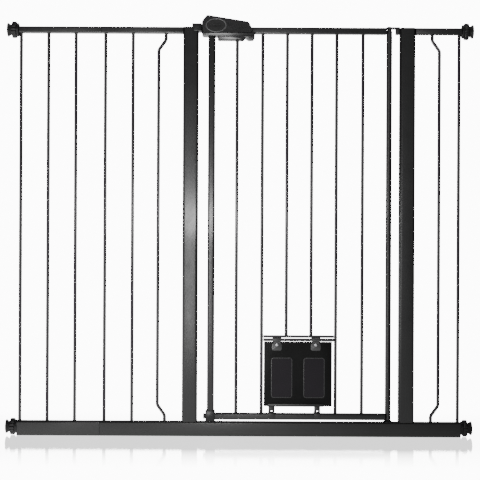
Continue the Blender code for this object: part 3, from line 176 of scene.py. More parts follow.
def skin(bm, rings, closed=False):
    """Faces between neighbouring rings of vertices; a ring of one vertex is a tip."""
    for first, second in zip(rings, rings[1:] + rings[:closed]):
        count = max(len(first), len(second))
        if count == 1:
            continue
        for step in range(count):
            corners = [ring[step % len(ring)] for ring in (first, second)]
            corners += [ring[(step + 1) % count % len(ring)] for ring in (second, first)]
            bm.faces.new(list(dict.fromkeys(corners)))


def round_edges(bm, edges, width, segments):
    bmesh.ops.bevel(
        bm, geom=edges, offset=width * MM, segments=segments, profile=0.5, affect="EDGES"
    )


def rounded_bar(name, low, high, axis, radius, segments, end=0.0, helper=False):
    """A box rounded along one axis by radius, with its end edges softened by end, in mm."""
    low = Vector(low)
    high = Vector(high)
    bm = bmesh.new()
    bmesh.ops.create_cube(bm, size=1.0)
    bmesh.ops.scale(bm, vec=high - low, verts=bm.verts)
    if radius:
        edges = []
        for edge in bm.edges:
            direction = edge.verts[1].co - edge.verts[0].co
            if abs(direction[axis]) > 0.99 * direction.length:
                edges.append(edge)
        round_edges(bm, edges, radius, segments)
    if end:
        caps = [face for face in bm.faces if abs(face.normal[axis]) > 0.99]
        round_edges(bm, list({edge for face in caps for edge in face.edges}), end, 2)
    bmesh.ops.translate(bm, vec=(low + high) / 2, verts=bm.verts)
    return from_bmesh(name, bm, helper)


def cuboid(low, high, helper=True):
    return rounded_bar("block", low, high, 2, 0, 1, 0, helper)


def lathe(name, profile, place, axis, steps=40, wave=None, helper=False):
    """Rings of (radius, height) in mm about an axis; wave(angle, radius) is taken off them."""
    bm = bmesh.new()
    rings = []
    for radius, height in profile:
        ring = []
        for step in range(steps if radius else 1):
            angle = 2 * math.pi * step / steps
            reach = radius - (wave(angle, radius) if wave else 0)
            point = Vector((reach * math.cos(angle), reach * math.sin(angle), height))
            ring.append(bm.verts.new(point * MM))
        rings.append(ring)
    skin(bm, rings)
    turn = Vector(Z_AXIS).rotation_difference(Vector(axis)).to_matrix()
    bmesh.ops.transform(bm, matrix=turn.to_4x4(), verts=bm.verts)
    bmesh.ops.translate(bm, vec=place, verts=bm.verts)
    return from_bmesh(name, bm, helper)


def drill(radius, reach, place, axis, steps):
    """A round cutter, given by its radius and its reach either way in mm."""
    profile = [(0, reach), (radius, reach), (radius, -reach), (0, -reach)]
    return lathe("drill", profile, place, axis, steps, None, True)


def rounded_path(points, radii, degrees=9):
    """Points joined by lines, with corners rounded by radii in mm; an open path ends in 0s."""
    count = len(points)
    path = []
    for index, point in enumerate(points):
        corner = Vector(point)
        radius = radii[index] * MM
        if radius == 0:
            path.append(corner)
            continue
        back = (Vector(points[index - 1]) - corner).normalized()
        ahead = (Vector(points[(index + 1) % count]) - corner).normalized()
        half = back.angle(ahead) / 2
        reach = radius / math.tan(half)
        centre = corner + (back + ahead).normalized() * radius / math.sin(half)
        first = corner + back * reach - centre
        last = corner + ahead * reach - centre
        turn = math.pi - 2 * half
        steps = max(2, math.ceil(turn / math.radians(degrees)))
        for step in range(steps + 1):
            share = step / steps
            from_first = math.sin((1 - share) * turn) / math.sin(turn)
            from_last = math.sin(share * turn) / math.sin(turn)
            path.append(centre + first * from_first + last * from_last)
    return path


def rectangle(left, low, right, high, radius, degrees):
    """The outline of a rectangle with corners rounded by radius in mm."""
    corners = [(left, low), (right, low), (right, high), (left, high)]
    return rounded_path(corners, [radius] * 4, degrees)


def ring_at(bm, outline, y):
    """Vertices on an (x, z) outline."""
    return [bm.verts.new((x, y, z)) for x, z in outline]


def prism(name, outline, y_low, y_high, edge=0.0, segments=2, helper=False):
    """An (x, z) outline given thickness, with front and back edges rounded by edge in mm."""
    bm = bmesh.new()
    front = ring_at(bm, outline, y_low)
    back = ring_at(bm, outline, y_high)
    faces = [bm.faces.new(front), bm.faces.new(list(reversed(back)))]
    skin(bm, [front, back])
    if edge:
        rim = {rim_edge for face in faces for rim_edge in face.edges}
        round_edges(bm, list(rim), edge, segments)
    return from_bmesh(name, bm, helper)


def moulding(name, outline_at, section, y):
    """A strip round an outline: outline_at(offset) at each (offset, depth) in mm."""
    bm = bmesh.new()
    rings = [ring_at(bm, outline_at(offset), y + depth * MM) for offset, depth in section]
    skin(bm, rings, True)
    return from_bmesh(name, bm)


def sweep(name, path, radius, steps=24):
    """A round bar along a path, with softened flat ends."""
    end = 0.4 * MM
    bm = bmesh.new()
    rings = []
    stations = []
    for index, point in enumerate(path):
        place = Vector(point)
        before = Vector(path[max(index - 1, 0)])
        after = Vector(path[min(index + 1, len(path) - 1)])
        along = (after - before).normalized()
        if index == 0:
            stations += [(place, along, radius - end), (place + along * end, along, radius)]
        elif index == len(path) - 1:
            stations += [(place - along * end, along, radius), (place, along, radius - end)]
        else:
            stations.append((place, along, radius))
    for place, along, reach in stations:
        side = along.cross(Vector(Y_AXIS)).normalized()
        front = side.cross(along).normalized()
        ring = []
        for step in range(steps):
            angle = 2 * math.pi * step / steps
            offset = side * math.cos(angle) + front * math.sin(angle)
            ring.append(bm.verts.new(place + offset * reach))
        rings.append(ring)
    skin(bm, rings)
    bm.faces.new(list(reversed(rings[0])))
    bm.faces.new(rings[-1])
    return from_bmesh(name, bm)


# ---------------------------------------------------------------- materials
def noise(tree, coordinates, scale, detail, roughness):
    node = tree.nodes.new("ShaderNodeTexNoise")
    node.inputs["Scale"].default_value = scale
    node.inputs["Detail"].default_value = detail
    node.inputs["Roughness"].default_value = roughness
    tree.links.new(coordinates, node.inputs["Vector"])
    return node.outputs["Fac"]


def mapped(tree, value, low, high, out_low, out_high):
    node = tree.nodes.new("ShaderNodeMapRange")
    node.inputs["From Min"].default_value = low
    node.inputs["From Max"].default_value = high
    node.inputs["To Min"].default_value = out_low
    node.inputs["To Max"].default_value = out_high
    tree.links.new(value, node.inputs["Value"])
    return node.outputs["Result"]


def bumped(tree, shader, height, strength, distance):
    node = tree.nodes.new("ShaderNodeBump")
    node.inputs["Strength"].default_value = strength
    node.inputs["Distance"].default_value = distance
    tree.links.new(height, node.inputs["Height"])
    tree.links.new(node.outputs["Normal"], shader.inputs["Normal"])


def object_coordinates(tree):
    return tree.nodes.new("ShaderNodeTexCoord").outputs["Object"]


def surface(name, mottle, greys, patches, roughness, grain, coat=(0, 0.03), level=0.5, metal=0):
    """Mottled colour and patches of gloss over a fine bumped grain.

    mottle and patches are noises (scale, detail, roughness, low, high), greys the colours
    and roughness the values that they run between. grain is a noise's (scale, detail,
    roughness) with the bump's strength and distance. coat is (weight, roughness).
    """
    material = bpy.data.materials.new(name)
    material.use_nodes = True
    tree = material.node_tree
    shader = tree.nodes["Principled BSDF"]
    place = object_coordinates(tree)
    mix = tree.nodes.new("ShaderNodeMix")
    mix.data_type = "RGBA"
    mix.inputs["A"].default_value = (*greys[0], 1)
    mix.inputs["B"].default_value = (*greys[1], 1)
    share = mapped(tree, noise(tree, place, *mottle[:3]), *mottle[3:], 0, 1)
    tree.links.new(share, mix.inputs["Factor"])
    tree.links.new(mix.outputs["Result"], shader.inputs["Base Color"])
    rough = mapped(tree, noise(tree, place, *patches[:3]), *patches[3:], *roughness)
    tree.links.new(rough, shader.inputs["Roughness"])
    bumped(tree, shader, noise(tree, place, *grain[:3]), *grain[3:])
    shader.inputs["Specular IOR Level"].default_value = level
    shader.inputs["Coat Weight"].default_value = coat[0]
    shader.inputs["Coat Roughness"].default_value = coat[1]
    shader.inputs["Metallic"].default_value = metal
    return material


def coated(name, greys, roughness, peel, coat=0.0, level=0.5):
    """Powder coat: fine orange peel, slow mottling in colour and gloss."""
    mottle, patches = (14, 4, 0.55, 0.3, 0.7), (45, 5, 0.6, 0.3, 0.72)
    grain = (420, 2, 0.5, peel, 0.0003)
    return surface(name, mottle, greys, patches, roughness, grain, (coat, 0.25), level)


def moulded(name, greys, roughness, texture):
    """Moulded plastic: a fine spark-eroded grain with slow gloss changes."""
    mottle, patches = (30, 3, 0.5, 0.35, 0.65), (85, 4, 0.6, 0.3, 0.7)
    grain = (3200, 2, 0.6, texture, 0.0002)
    return surface(name, mottle, greys, patches, roughness, grain, level=0.3)


STEEL = coated(
    "powder_coat", ((0.006, 0.006, 0.0062), (0.0095, 0.0095, 0.0097)), (0.3, 0.4), 0.12
)
ROD = coated(
    "smooth_coated_rod", ((0.02, 0.02, 0.021), (0.03, 0.03, 0.031)), (0.14, 0.24), 0.05, 0.6
)
SHEET = coated(
    "coated_sheet",
    ((0.0035, 0.0035, 0.0036), (0.006, 0.006, 0.0061)),
    (0.42, 0.52),
    0.12,
    level=0.12,
)
CLIP = coated("coated_clip", ((0.03, 0.03, 0.031), (0.05, 0.05, 0.051)), (0.26, 0.36), 0.1)
PLASTIC = moulded(
    "moulded_plastic", ((0.0055, 0.0055, 0.0057), (0.009, 0.009, 0.0092)), (0.3, 0.42), 0.15
)
GRIP_PLASTIC = moulded(
    "grip_plastic", ((0.005, 0.005, 0.0053), (0.0075, 0.0076, 0.008)), (0.24, 0.32), 0.03
)
RING_PLASTIC = moulded(
    "ring_plastic", ((0.06, 0.06, 0.061), (0.08, 0.08, 0.081)), (0.24, 0.32), 0.1
)
RUBBER = moulded(
    "pad_rubber", ((0.008, 0.008, 0.008), (0.013, 0.013, 0.0128)), (0.5, 0.7), 0.3
)
SPANGLE = (260, 4, 0.65, 0.3, 0.7)
ZINC = surface(
    "zinc_plate",
    SPANGLE,
    ((0.42, 0.42, 0.44), (0.72, 0.72, 0.73)),
    SPANGLE,
    (0.22, 0.4),
    (1500, 2, 0.5, 0.12, 0.0002),
    metal=1,
)
WINDOW = surface(
    "tinted_sheet",
    (22, 3, 0.5, 0, 1),
    ((0.005, 0.0035, 0.0055), (0.009, 0.006, 0.01)),
    (22, 3, 0.5, 0.3, 0.7),
    (0.06, 0.14),
    (60, 2, 0.5, 0.03, 0.0004),
    (0.1, 0.05),
    0.2,
)
SLOT_MATERIAL = {
    "powder_coated_steel": STEEL,
    "blackened_metal": ROD,
    "black_plastic": PLASTIC,
    "black_rubber": RUBBER,
    "zinc_plated_steel": ZINC,
    "tinted_window": WINDOW,
}


def extra(obj, body, material, angle=35):
    """Finishes a piece: its material, its smooth shading, and the body that it rides."""
    obj.data.materials.clear()
    obj.data.materials.append(material)
    obj.data.shade_smooth()
    obj.data.set_sharp_from_angle(angle=math.radians(angle))
    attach(obj, body)


def stand_for(obj, node, material=None, angle=35):
    """Finishes a piece that takes a CAD node's place, with the node's body and slot."""
    slot = NODE_SLOT[node]
    extra(obj, NODE_BODY[node], material or SLOT_MATERIAL[slot], angle)
    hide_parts(node)


# ---------------------------------------------------------------- tubes and bars
def tubes():
    makes = {
        (0, 3.2, 0.7): ("bottom_rail", "extension_bottom_rail"),
        (0, 3, 0.5): ("top_rail_left", "extension_top_rail", "top_rail_right"),
        (0, 3, 0.3): ("door_top_rail", "door_bottom_rail"),
        (2, 7, 0.9): ("left_post", "right_post"),
        (2, 5.5, 0.8): ("latch_stile",),
    }
    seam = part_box("bottom_rail")[0].x - 0.3 * MM
    for (axis, corner, end), nodes in makes.items():
        for node in nodes:
            low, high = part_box(node)
            if node.startswith("extension"):
                high.x = seam
            stand_for(rounded_bar(node + "_tube", low, high, axis, corner, 8, end), node)
    size = size_mm("hinge_stile")
    radius = size.x / 2
    inner = radius - 1.3
    profile = [(inner, 0), (radius - 0.4, 0), (radius, 0.4), (radius, size.z - 0.6)]
    profile += [(radius - 0.6, size.z), (inner, size.z), (inner, 0)]
    tube = lathe("hinge_stile_tube", profile, foot_of("hinge_stile"), Z_AXIS, 48)
    stand_for(tube, "hinge_stile")


def jog_ends(node, side):
    """The X of a jogged bar's two ends, and the X of its long middle."""
    low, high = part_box(node)
    left, right = low.x + BAR_RADIUS, high.x - BAR_RADIUS
    return (right, left) if side > 0 else (left, right)


def bars():
    for node in FRAME_BARS + DOOR_BARS + SHORT_BARS:
        low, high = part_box(node)
        middle = (low + high) / 2
        path = [(middle.x, middle.y, z) for z in (low.z, high.z)]
        stand_for(sweep(node + "_wire", path, BAR_RADIUS), node)
    jog_low = 52 * MM
    jog_rise = 26 * MM
    bend = 14
    for node, side in JOGGED_BARS:
        low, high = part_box(node)
        near, far = jog_ends(node, side)
        drop = jog_low - low.z
        corners = [
            (near, 0, low.z),
            (near, 0, jog_low),
            (far, 0, jog_low + jog_rise),
            (far, 0, high.z - drop - jog_rise),
            (near, 0, high.z - drop),
            (near, 0, high.z),
        ]
        path = rounded_path(corners, [0, bend, bend, bend, bend, 0], 6)
        stand_for(sweep(node + "_wire", path, BAR_RADIUS), node)


def ring_bead(x, z, upward, spread=1.5, height=1.7):
    """A concave weld fillet round a bar where it meets a rail; spread and height in mm."""
    bar = BAR_RADIUS / MM
    profile = [(bar - 0.3, height * 1.05)]
    for degrees in range(0, 91, 18):
        angle = math.radians(degrees)
        profile.append((bar + spread * (1 - math.cos(angle)), height * (1 - math.sin(angle))))
    profile += [(bar - 0.3, 0), profile[0]]

    def ripple(angle, radius):
        return 0.12 * math.sin(9 * angle + x * 5000) * math.sin(5 * angle + z * 3000)

    return lathe("bead", profile, (x, 0, z), (0, 0, 1 if upward else -1), 36, ripple)


def box_bead(low, high, axis, side, corner, spread):
    """A fillet round a rectangular tube where it lands on another piece, sizes in mm."""
    across = [n for n in range(3) if n != axis]
    half = (high - low) / 2
    middle = (high + low) / 2
    base = low[axis] if side < 0 else high[axis]
    levels = [(-0.3, spread), (0.15, spread * 0.9), (0.5, spread * 0.45)]
    levels += [(spread * 0.45, spread * 0.18), (spread * 0.9, 0.05), (spread, -0.3)]
    bm = bmesh.new()
    rings = []
    for outward, rise in levels:
        ring = []
        for quadrant, signs in enumerate(((1, 1), (-1, 1), (-1, -1), (1, -1))):
            for step in range(7):
                angle = math.radians(90 * quadrant + 15 * step)
                wobble = 0.1 * math.sin(23 * angle + base * 4000)
                reach = (corner + outward + wobble) * MM
                turn = (math.cos(angle), math.sin(angle))
                point = [0.0, 0.0, 0.0]
                for n in range(2):
                    straight = half[across[n]] - corner * MM
                    point[across[n]] = middle[across[n]] + signs[n] * straight + reach * turn[n]
                point[axis] = base - side * rise * MM
                ring.append(bm.verts.new(point))
        rings.append(ring)
    skin(bm, rings, True)
    return from_bmesh("bead", bm)


def weld_beads():
    sink = 0.3 * MM
    frame_beads = []
    door_beads = []
    places = [(node, middle_of(node).x) for node in FRAME_BARS]
    places += [(node, jog_ends(node, side)[0]) for node, side in JOGGED_BARS]
    for node, x in places:
        low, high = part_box(node)
        frame_beads.append(ring_bead(x, low.z - sink, True))
        frame_beads.append(ring_bead(x, high.z + sink, False))
    for node in DOOR_BARS + SHORT_BARS:
        low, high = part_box(node)
        x = (low.x + high.x) / 2
        if node in DOOR_BARS:
            door_beads.append(ring_bead(x, low.z - sink, True))
        else:
            door_beads.append(ring_bead(x, low.z - 3 * sink, True, 0.4, 1.6))
        if node != "door_bar_1":  # its upper end is hidden in the handle, beside the trigger
            door_beads.append(ring_bead(x, high.z + sink, False))
    for node in ("left_post", "right_post"):
        low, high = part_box(node)
        low.y += 1.5 * MM
        high.y -= 1.5 * MM
        low.z -= sink
        frame_beads.append(box_bead(low, high, 2, -1, 5.5, 1.7))
    for node, side in (("top_rail_left", 1), ("top_rail_right", -1)):
        low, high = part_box(node)
        high.z -= 0.8 * MM
        frame_beads.append(box_bead(low, high, 0, side, 3, 1.4))
    extra(merged("frame_weld_beads", frame_beads), "frame", STEEL, 60)
    extra(merged("door_weld_beads", door_beads), "door", STEEL, 60)


# ---------------------------------------------------------------- wall fittings
def thread(name, start, length, radius, sign, z):
    """A rod with a helical thread along X, from start towards the wall."""
    bm = bmesh.new()
    steps = 28
    per_turn = 8
    pitch = 1.5 * MM
    depth = 0.55 * MM
    count = int(length / pitch * per_turn)
    rings = []
    for station in range(count + 1):
        x = length * station / count
        ring = []
        for step in range(steps):
            angle = 2 * math.pi * step / steps
            groove = abs(2 * ((x / pitch + sign * step / steps) % 1.0) - 1)
            ease = min(1.0, x / (1.5 * pitch), (length - x) / pitch + 0.15)
            reach = radius - depth * groove * max(0.0, ease)
            place = (start + sign * x, reach * math.cos(angle), z + reach * math.sin(angle))
            ring.append(bm.verts.new(place))
        rings.append(ring)
    skin(bm, rings)
    bm.faces.new(rings[0])
    bm.faces.new(list(reversed(rings[-1])))
    return from_bmesh(name, bm)


def lobe(angle, radius):
    """The hollows between a thumb wheel's sixteen lobes."""
    wave = 0.5 - 0.5 * math.cos(16 * angle)
    return 1.5 * wave**1.3 * min(1.0, max(0.0, radius - 18.5) / 2.2)


def wall_fittings():
    bore = 5.35
    hub, hub_end = 17, 5.5
    neck = 13.5
    for corner in ("top_left", "bottom_left", "top_right", "bottom_right"):
        sign = -1 if corner.endswith("left") else 1
        z = middle_of("thumb_nut_" + corner).z

        def inner_end(node):
            low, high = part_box(node)
            return high.x if sign < 0 else low.x

        node = "thumb_nut_" + corner
        end = size_mm(node).x
        radius = size_mm(node).z / 2
        profile = [
            (bore, 0.3), (bore + 0.5, 0), (hub - 0.7, 0), (hub, 0.7),
            (hub, hub_end - 0.9), (hub - 0.5, hub_end - 0.5), (hub - 0.5, hub_end),
            (19, hub_end), (radius - 1.4, hub_end + 0.15), (radius - 0.4, hub_end + 0.7),
            (radius, hub_end + 1.7), (radius, end - 1.7), (radius - 0.4, end - 0.7),
            (radius - 1.4, end - 0.15), (19, end), (16.2, end), (15.6, end - 0.8),
            (9.5, end - 0.8), (9, end - 0.1), (bore + 0.4, end - 0.1), (bore, end - 0.5),
            (bore, 0.3),
        ]
        place, outward = (inner_end(node), 0, z), (sign, 0, 0)
        wheel = lathe("thumb_wheel_" + corner, profile, place, outward, 192, lobe)
        stand_for(wheel, node, None, 40)

        node = "wall_pad_" + corner
        end = size_mm(node).x
        outer = size_mm(node).z / 2
        profile = [
            (0, 4), (bore, 4), (bore, 0.3), (bore + 0.3, 0), (neck - 0.5, 0), (neck, 0.5),
            (neck, 2.4), (neck + 0.5, 4), (neck + 2.1, 6.4), (outer - 0.5, 7.9),
            (outer, 8.6), (outer, end - 1.1), (outer - 0.3, end - 0.4), (outer - 1, end),
        ]
        for groove in (14.6, 11.8, 9.0, 6.2):
            profile += [(groove, end), (groove - 0.3, end - 0.6)]
            profile += [(groove - 1.0, end - 0.6), (groove - 1.3, end)]
        profile.append((0, end))
        pad = lathe("pad_" + corner, profile, (inner_end(node), 0, z), outward, 72)
        stand_for(pad, node, None, 40)

        node = "spindle_" + corner
        size = size_mm(node) * MM
        rod = thread("threaded_rod_" + corner, inner_end(node), size.x, size.z / 2, sign, z)
        stand_for(rod, node, None, 25)


# ---------------------------------------------------------------- fixed fittings
def fixed_fittings():
    low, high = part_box("top_hinge_bracket")
    half = 7.2 * MM
    strap_low = RAIL_TOP - 2 * MM
    strap_high = strap_low + 4.5 * MM
    corners = [(low.x, -half), (high.x, -half), (high.x, half), (low.x, half)]
    outline = rounded_path(corners, [7.1, 0, 0, 7.1])
    strap = prism("strap", outline, strap_low, strap_high, 0.7, 3)
    strap.data.transform(Matrix.Rotation(math.radians(90), 4, "X"))
    leg_low = (high.x - 10 * MM, -10 * MM, RAIL_TOP - 15.5 * MM)
    leg_high = (high.x, 10 * MM, strap_high - 0.4 * MM)
    leg = rounded_bar("leg", leg_low, leg_high, 2, 2, 5, 0.6)
    profile = [(0, 6), (4, 6.1), (5.2, 5.7), (5.8, 5), (5.8, 4.2), (5.8, -27), (4.8, -28)]
    profile.append((0, -28))
    pin = lathe("pin", profile, (low.x + half, 0, strap_low), Z_AXIS)
    stand_for(merged("upper_hinge", [strap, leg, pin]), "top_hinge_bracket", None, 40)

    size = size_mm("lower_hinge_cup")
    base, height = size.x / 2, size.z
    top = 7.9
    profile = [(0, 1.2), (4.3, 1.2), (4.3, height), (top - 0.5, height), (top, height - 0.4)]
    for step in range(1, 11):
        share = step / 10
        profile.append((top + (base - top) * share**2, (height - 1) * (1 - share) + 0.8))
    profile += [(base, 0), (0, 0)]
    cup = lathe("lower_hinge_flare", profile, foot_of("lower_hinge_cup"), Z_AXIS, 56)
    stand_for(cup, "lower_hinge_cup", None, 50)

    size = size_mm("hinge_core")
    radius, height = size.x / 2, size.z
    shoulder = 4.3
    profile = [(0, height), (radius - 1.2, height), (radius, height - 1.2)]
    profile += [(radius, shoulder + 0.4), (radius - 0.4, shoulder), (4, shoulder)]
    profile += [(4, 0.5), (3.5, 0), (0, 0)]
    core = lathe("sprung_core", profile, foot_of("hinge_core"), Z_AXIS)
    stand_for(core, "hinge_core")

    plate = size_mm("door_stop_stud").x / 2
    profile = [(0, 3.4), (1.6, 3.3), (3, 2.9), (3.8, 2.2), (4, 1.4), (4.2, 1.05)]
    profile += [(plate - 0.4, 1), (plate, 0.7), (plate, 0), (0, 0)]
    stud = lathe("stop_stud", profile, foot_of("door_stop_stud"), Z_AXIS)
    stand_for(stud, "door_stop_stud", None, 40)

    low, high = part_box("strike")
    body = rounded_bar("catch", low, high, 0, 2, 5, 1.4)
    post_low, post_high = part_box("left_post")
    gap = 0.3 * MM
    half = 5.3 * MM
    past = 5 * MM
    seat = rounded_bar(
        "seat",
        (post_low.x, post_low.y - gap, low.z - 10 * past),
        (post_high.x + gap, post_high.y + gap, RAIL_TOP + gap),
        2,
        7,
        8,
        helper=True,
    )
    slot = cuboid(
        (low.x - past, -half, RAIL_TOP + 1.8 * MM), (high.x + past, half, high.z + past)
    )
    step = cuboid(
        (low.x - past, low.y - past, low.z - past),
        (low.x + past, high.y + past, RAIL_TOP - 3 * MM),
    )
    stand_for(cut(body, [seat, slot, step]), "strike", None, 40)


# ---------------------------------------------------------------- handle and latch
BUTTON_WIDE, BUTTON_TALL = 23, 14.6  # half the oval's width and height in mm


def button_outline(grow, steps=72):
    """The button's oval, grown by so many mm."""
    centre = middle_of("latch_button")
    points = []
    for step in range(steps):
        angle = 2 * math.pi * step / steps
        x = centre.x + (BUTTON_WIDE + grow) * MM * math.cos(angle)
        points.append((x, centre.z + (BUTTON_TALL + grow) * MM * math.sin(angle)))
    return points


def handle_outline(inset, low):
    body_low, body_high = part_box("handle_cover")
    left = body_low.x + inset * MM
    right = body_high.x - inset * MM
    corners = [
        (left, low),
        (left, RAIL_TOP + 13 * MM),
        (left + 13 * MM, RAIL_TOP + (28.8 - inset) * MM),
        (right - 10 * MM, RAIL_TOP + (12 - inset) * MM),
        (right, RAIL_TOP - 8 * MM),
        (right - 3 * MM, low),
    ]
    return rounded_path(corners, [0, 14, 5, 8, 6, 0])


def handle_cover():
    low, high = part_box("handle_cover")
    depth = high.y
    seam = low.z
    gap = 0.5 * MM
    past = 50 * MM
    cover = prism("cover", handle_outline(0, seam - 6 * MM), -depth, depth, 5, 6)
    flat = cuboid((low.x - past, -2 * past, seam - past), (high.x + past, 2 * past, seam))
    cover = cut(cover, [flat])
    wall = 2.5
    inner_outline = handle_outline(wall, seam - 9 * MM)
    back = depth - wall * MM
    inner = prism("inner", inner_outline, -back, back, helper=True)
    hole = prism("hole", button_outline(0.5), -depth - 9 * MM, -depth + 6 * MM, helper=True)
    stile_low, stile_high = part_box("latch_stile")
    rail_slot = cuboid(
        (stile_high.x + 31 * MM, -13 * MM, seam - past), (high.x + past, 13 * MM, RAIL_TOP + gap)
    )
    bolt_low, bolt_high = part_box("latch_bolt")
    bolt_slot = cuboid(
        (low.x - past, bolt_low.y - gap, bolt_low.z - gap),
        (stile_low.x, bolt_high.y + gap, bolt_high.z + gap),
    )
    cover = cut(cover, [inner, hole, rail_slot, bolt_slot])
    stand_for(cover, "handle_cover", GRIP_PLASTIC, 30)

    section = [(0.4, 0.2), (0.4, -0.6), (0.9, -1), (2.2, -1), (3, -0.7), (3.3, 0.2)]
    rim = moulding("button_rim", lambda grow: button_outline(grow, 96), section, -depth)
    extra(rim, "door", RING_PLASTIC, 50)

    ridges = []
    for number in range(3):
        x = middle_of("latch_button").x + (BUTTON_WIDE + 8 + number * 4.4) * MM
        outline = rectangle(
            x - 0.9 * MM,
            RAIL_TOP - (9 - number * 1.2) * MM,
            x + 0.9 * MM,
            RAIL_TOP + (9 - number * 1.6) * MM,
            0.85,
            20,
        )
        ridges.append(prism("ridge", outline, -depth - 0.55 * MM, -depth + 0.4 * MM, 0.35))
    extra(merged("handle_ridges", ridges), "door", GRIP_PLASTIC, 45)

    profile = [(4.2, -1.2), (4.2, -0.25), (3.9, 0), (3.3, 0), (3.1, -0.5), (2.9, -0.5)]
    profile += [(2.5, -0.15), (1.2, 0), (0.9, -0.8), (0, -0.8)]
    screws = []
    for x, rise in ((low.x + 18 * MM, 14), (high.x - 20 * MM, 3), (low.x + 58 * MM, -8)):
        place = (x, depth, RAIL_TOP + rise * MM)
        screws.append(lathe("screw", profile, place, Y_AXIS, 32))
    extra(merged("handle_back_screws", screws), "door", PLASTIC, 40)


def grip_outline(inset, top):
    low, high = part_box("handle_grip")
    left = low.x + inset * MM
    right = high.x - inset * MM
    nose = low.z + inset * MM
    corners = [
        (left, top),
        (left, RAIL_TOP - (22 - inset) * MM),
        (right - 26 * MM, RAIL_TOP - (25 - inset) * MM),
        (right - 17 * MM, nose),
        (right - 4 * MM, nose),
        (right, nose + 8 * MM),
        (right, top),
    ]
    return rounded_path(corners, [0, 6, 6, 4, 5, 5, 0])


def hulled(obj, depth, top):
    """Trims both sides of a lower shell: a sloping band, a small upright step, a slope."""
    slope = math.tan(math.radians(34))
    inner = depth - 5.6 * MM * slope
    step_high = top - 5.6 * MM
    step_low = step_high - 1.8 * MM
    bottom = step_low - 0.03
    section = [(depth, top), (inner, step_high), (inner, step_low)]
    section += [(inner - 0.03 * slope, bottom), (0.06, bottom), (0.06, top)]
    hulls = []
    for side in (-1, 1):
        bm = bmesh.new()
        ends = [[bm.verts.new((x, side * y, z)) for y, z in section] for x in (-0.3, 0.3)]
        skin(bm, ends)
        for end in ends:
            bm.faces.new(end)
        hulls.append(from_bmesh("hull", bm, True))
    return bevelled(cut(obj, hulls), 0.5, 22)


def bar_hole(z):
    """Clears the door bar that passes up into the handle."""
    return drill(BAR_RADIUS / MM + 0.5, 100, (middle_of("door_bar_1").x, 0, z), Z_AXIS, 32)


def handle_grip():
    low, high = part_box("handle_grip")
    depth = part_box("handle_cover")[1].y
    gap = 0.5 * MM
    past = 20 * MM
    grip = prism("grip", grip_outline(0, high.z), -depth, depth)
    grip = hulled(grip, depth, high.z - 1.5 * MM)
    back = depth - 7 * MM
    inner = prism("inner", grip_outline(2, high.z + 5 * MM), -back, back, helper=True)
    stile_low, stile_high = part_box("latch_stile")
    stile_hole = rounded_bar(
        "stile_hole",
        (stile_low.x - gap, stile_low.y - gap, low.z - past),
        (stile_high.x + gap, stile_high.y + gap, high.z + past),
        2,
        5.5,
        6,
        helper=True,
    )
    trigger_low, trigger_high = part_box("latch_trigger")
    slot = cuboid(
        (trigger_low.x - gap, -8 * MM, low.z - past),
        (trigger_high.x - 1.8 * MM + gap, 8 * MM, high.z + past),
    )
    grip = cut(grip, [inner, stile_hole, bar_hole(low.z), slot])
    stand_for(grip, "handle_grip", GRIP_PLASTIC, 30)


def latch_button():
    low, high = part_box("latch_button")
    centre = (low + high) / 2
    x, z = centre.x, centre.z
    front = low.y
    face = prism("face", button_outline(0), front, high.y - 0.2 * MM, 0.8, 3)
    flange = prism("flange", button_outline(1.5), high.y - 1.4 * MM, high.y, 0.2, 1)
    line = rectangle(x - 15 * MM, z + 2 * MM, x + 15 * MM, z + 3.4 * MM, 0.6, 30)
    pieces = [face, flange, prism("line", line, front - 0.3 * MM, front + 0.3 * MM, 0.2)]
    ribs = 13
    for number in range(ribs):
        offset = (number - (ribs - 1) / 2) * 2.6
        share = offset / (BUTTON_WIDE - 2.5)
        depth = (BUTTON_TALL - 2.4) * math.sqrt(max(0.0, 1 - share * share))
        if depth < 2.6:
            continue
        rib_x = x + offset * MM
        left, right = rib_x - 0.65 * MM, rib_x + 0.65 * MM
        outline = rectangle(left, z - depth * MM, right, z - 0.6 * MM, 0.6, 30)
        pieces.append(prism("rib", outline, front - 0.35 * MM, front + 0.3 * MM, 0.25))
    stand_for(merged("latch_button_face", pieces), "latch_button", PLASTIC, 40)


def latch_bolt():
    bolt = rounded_bar("bolt_bar", *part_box("latch_bolt"), 0, 0.9, 4, 0.8)
    stand_for(bolt, "latch_bolt")


def latch_trigger():
    low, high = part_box("latch_trigger")
    right = high.x - 1.8 * MM
    half = 7.5 * MM
    corners = [(low.x, low.z), (right, low.z), (right, high.z), (low.x, high.z)]
    paddle = prism("paddle", rounded_path(corners, [5, 7, 0, 0]), -half, half)
    paddle = hulled(paddle, half, RAIL_TOP - 24 * MM)
    paddle = cut(paddle, [bar_hole(low.z)])
    grooves = []
    for number in range(6):
        x = low.x + (9 + number * 5.4) * MM
        groove_low = (x, -6.2 * MM, low.z - 0.35 * MM)
        groove_high = (x + 2 * MM, 6.2 * MM, low.z + 0.55 * MM)
        grooves.append(rounded_bar("groove", groove_low, groove_high, 1, 0.4, 2, helper=True))
    paddle = cut(paddle, grooves)
    flange_low = (high.x - 35.8 * MM, low.y, high.z - 1 * MM)
    flange = rounded_bar("flange", flange_low, high, 2, 0.6, 2)
    trigger = merged("squeeze_trigger", [paddle, flange])
    stand_for(trigger, "latch_trigger", GRIP_PLASTIC, 40)


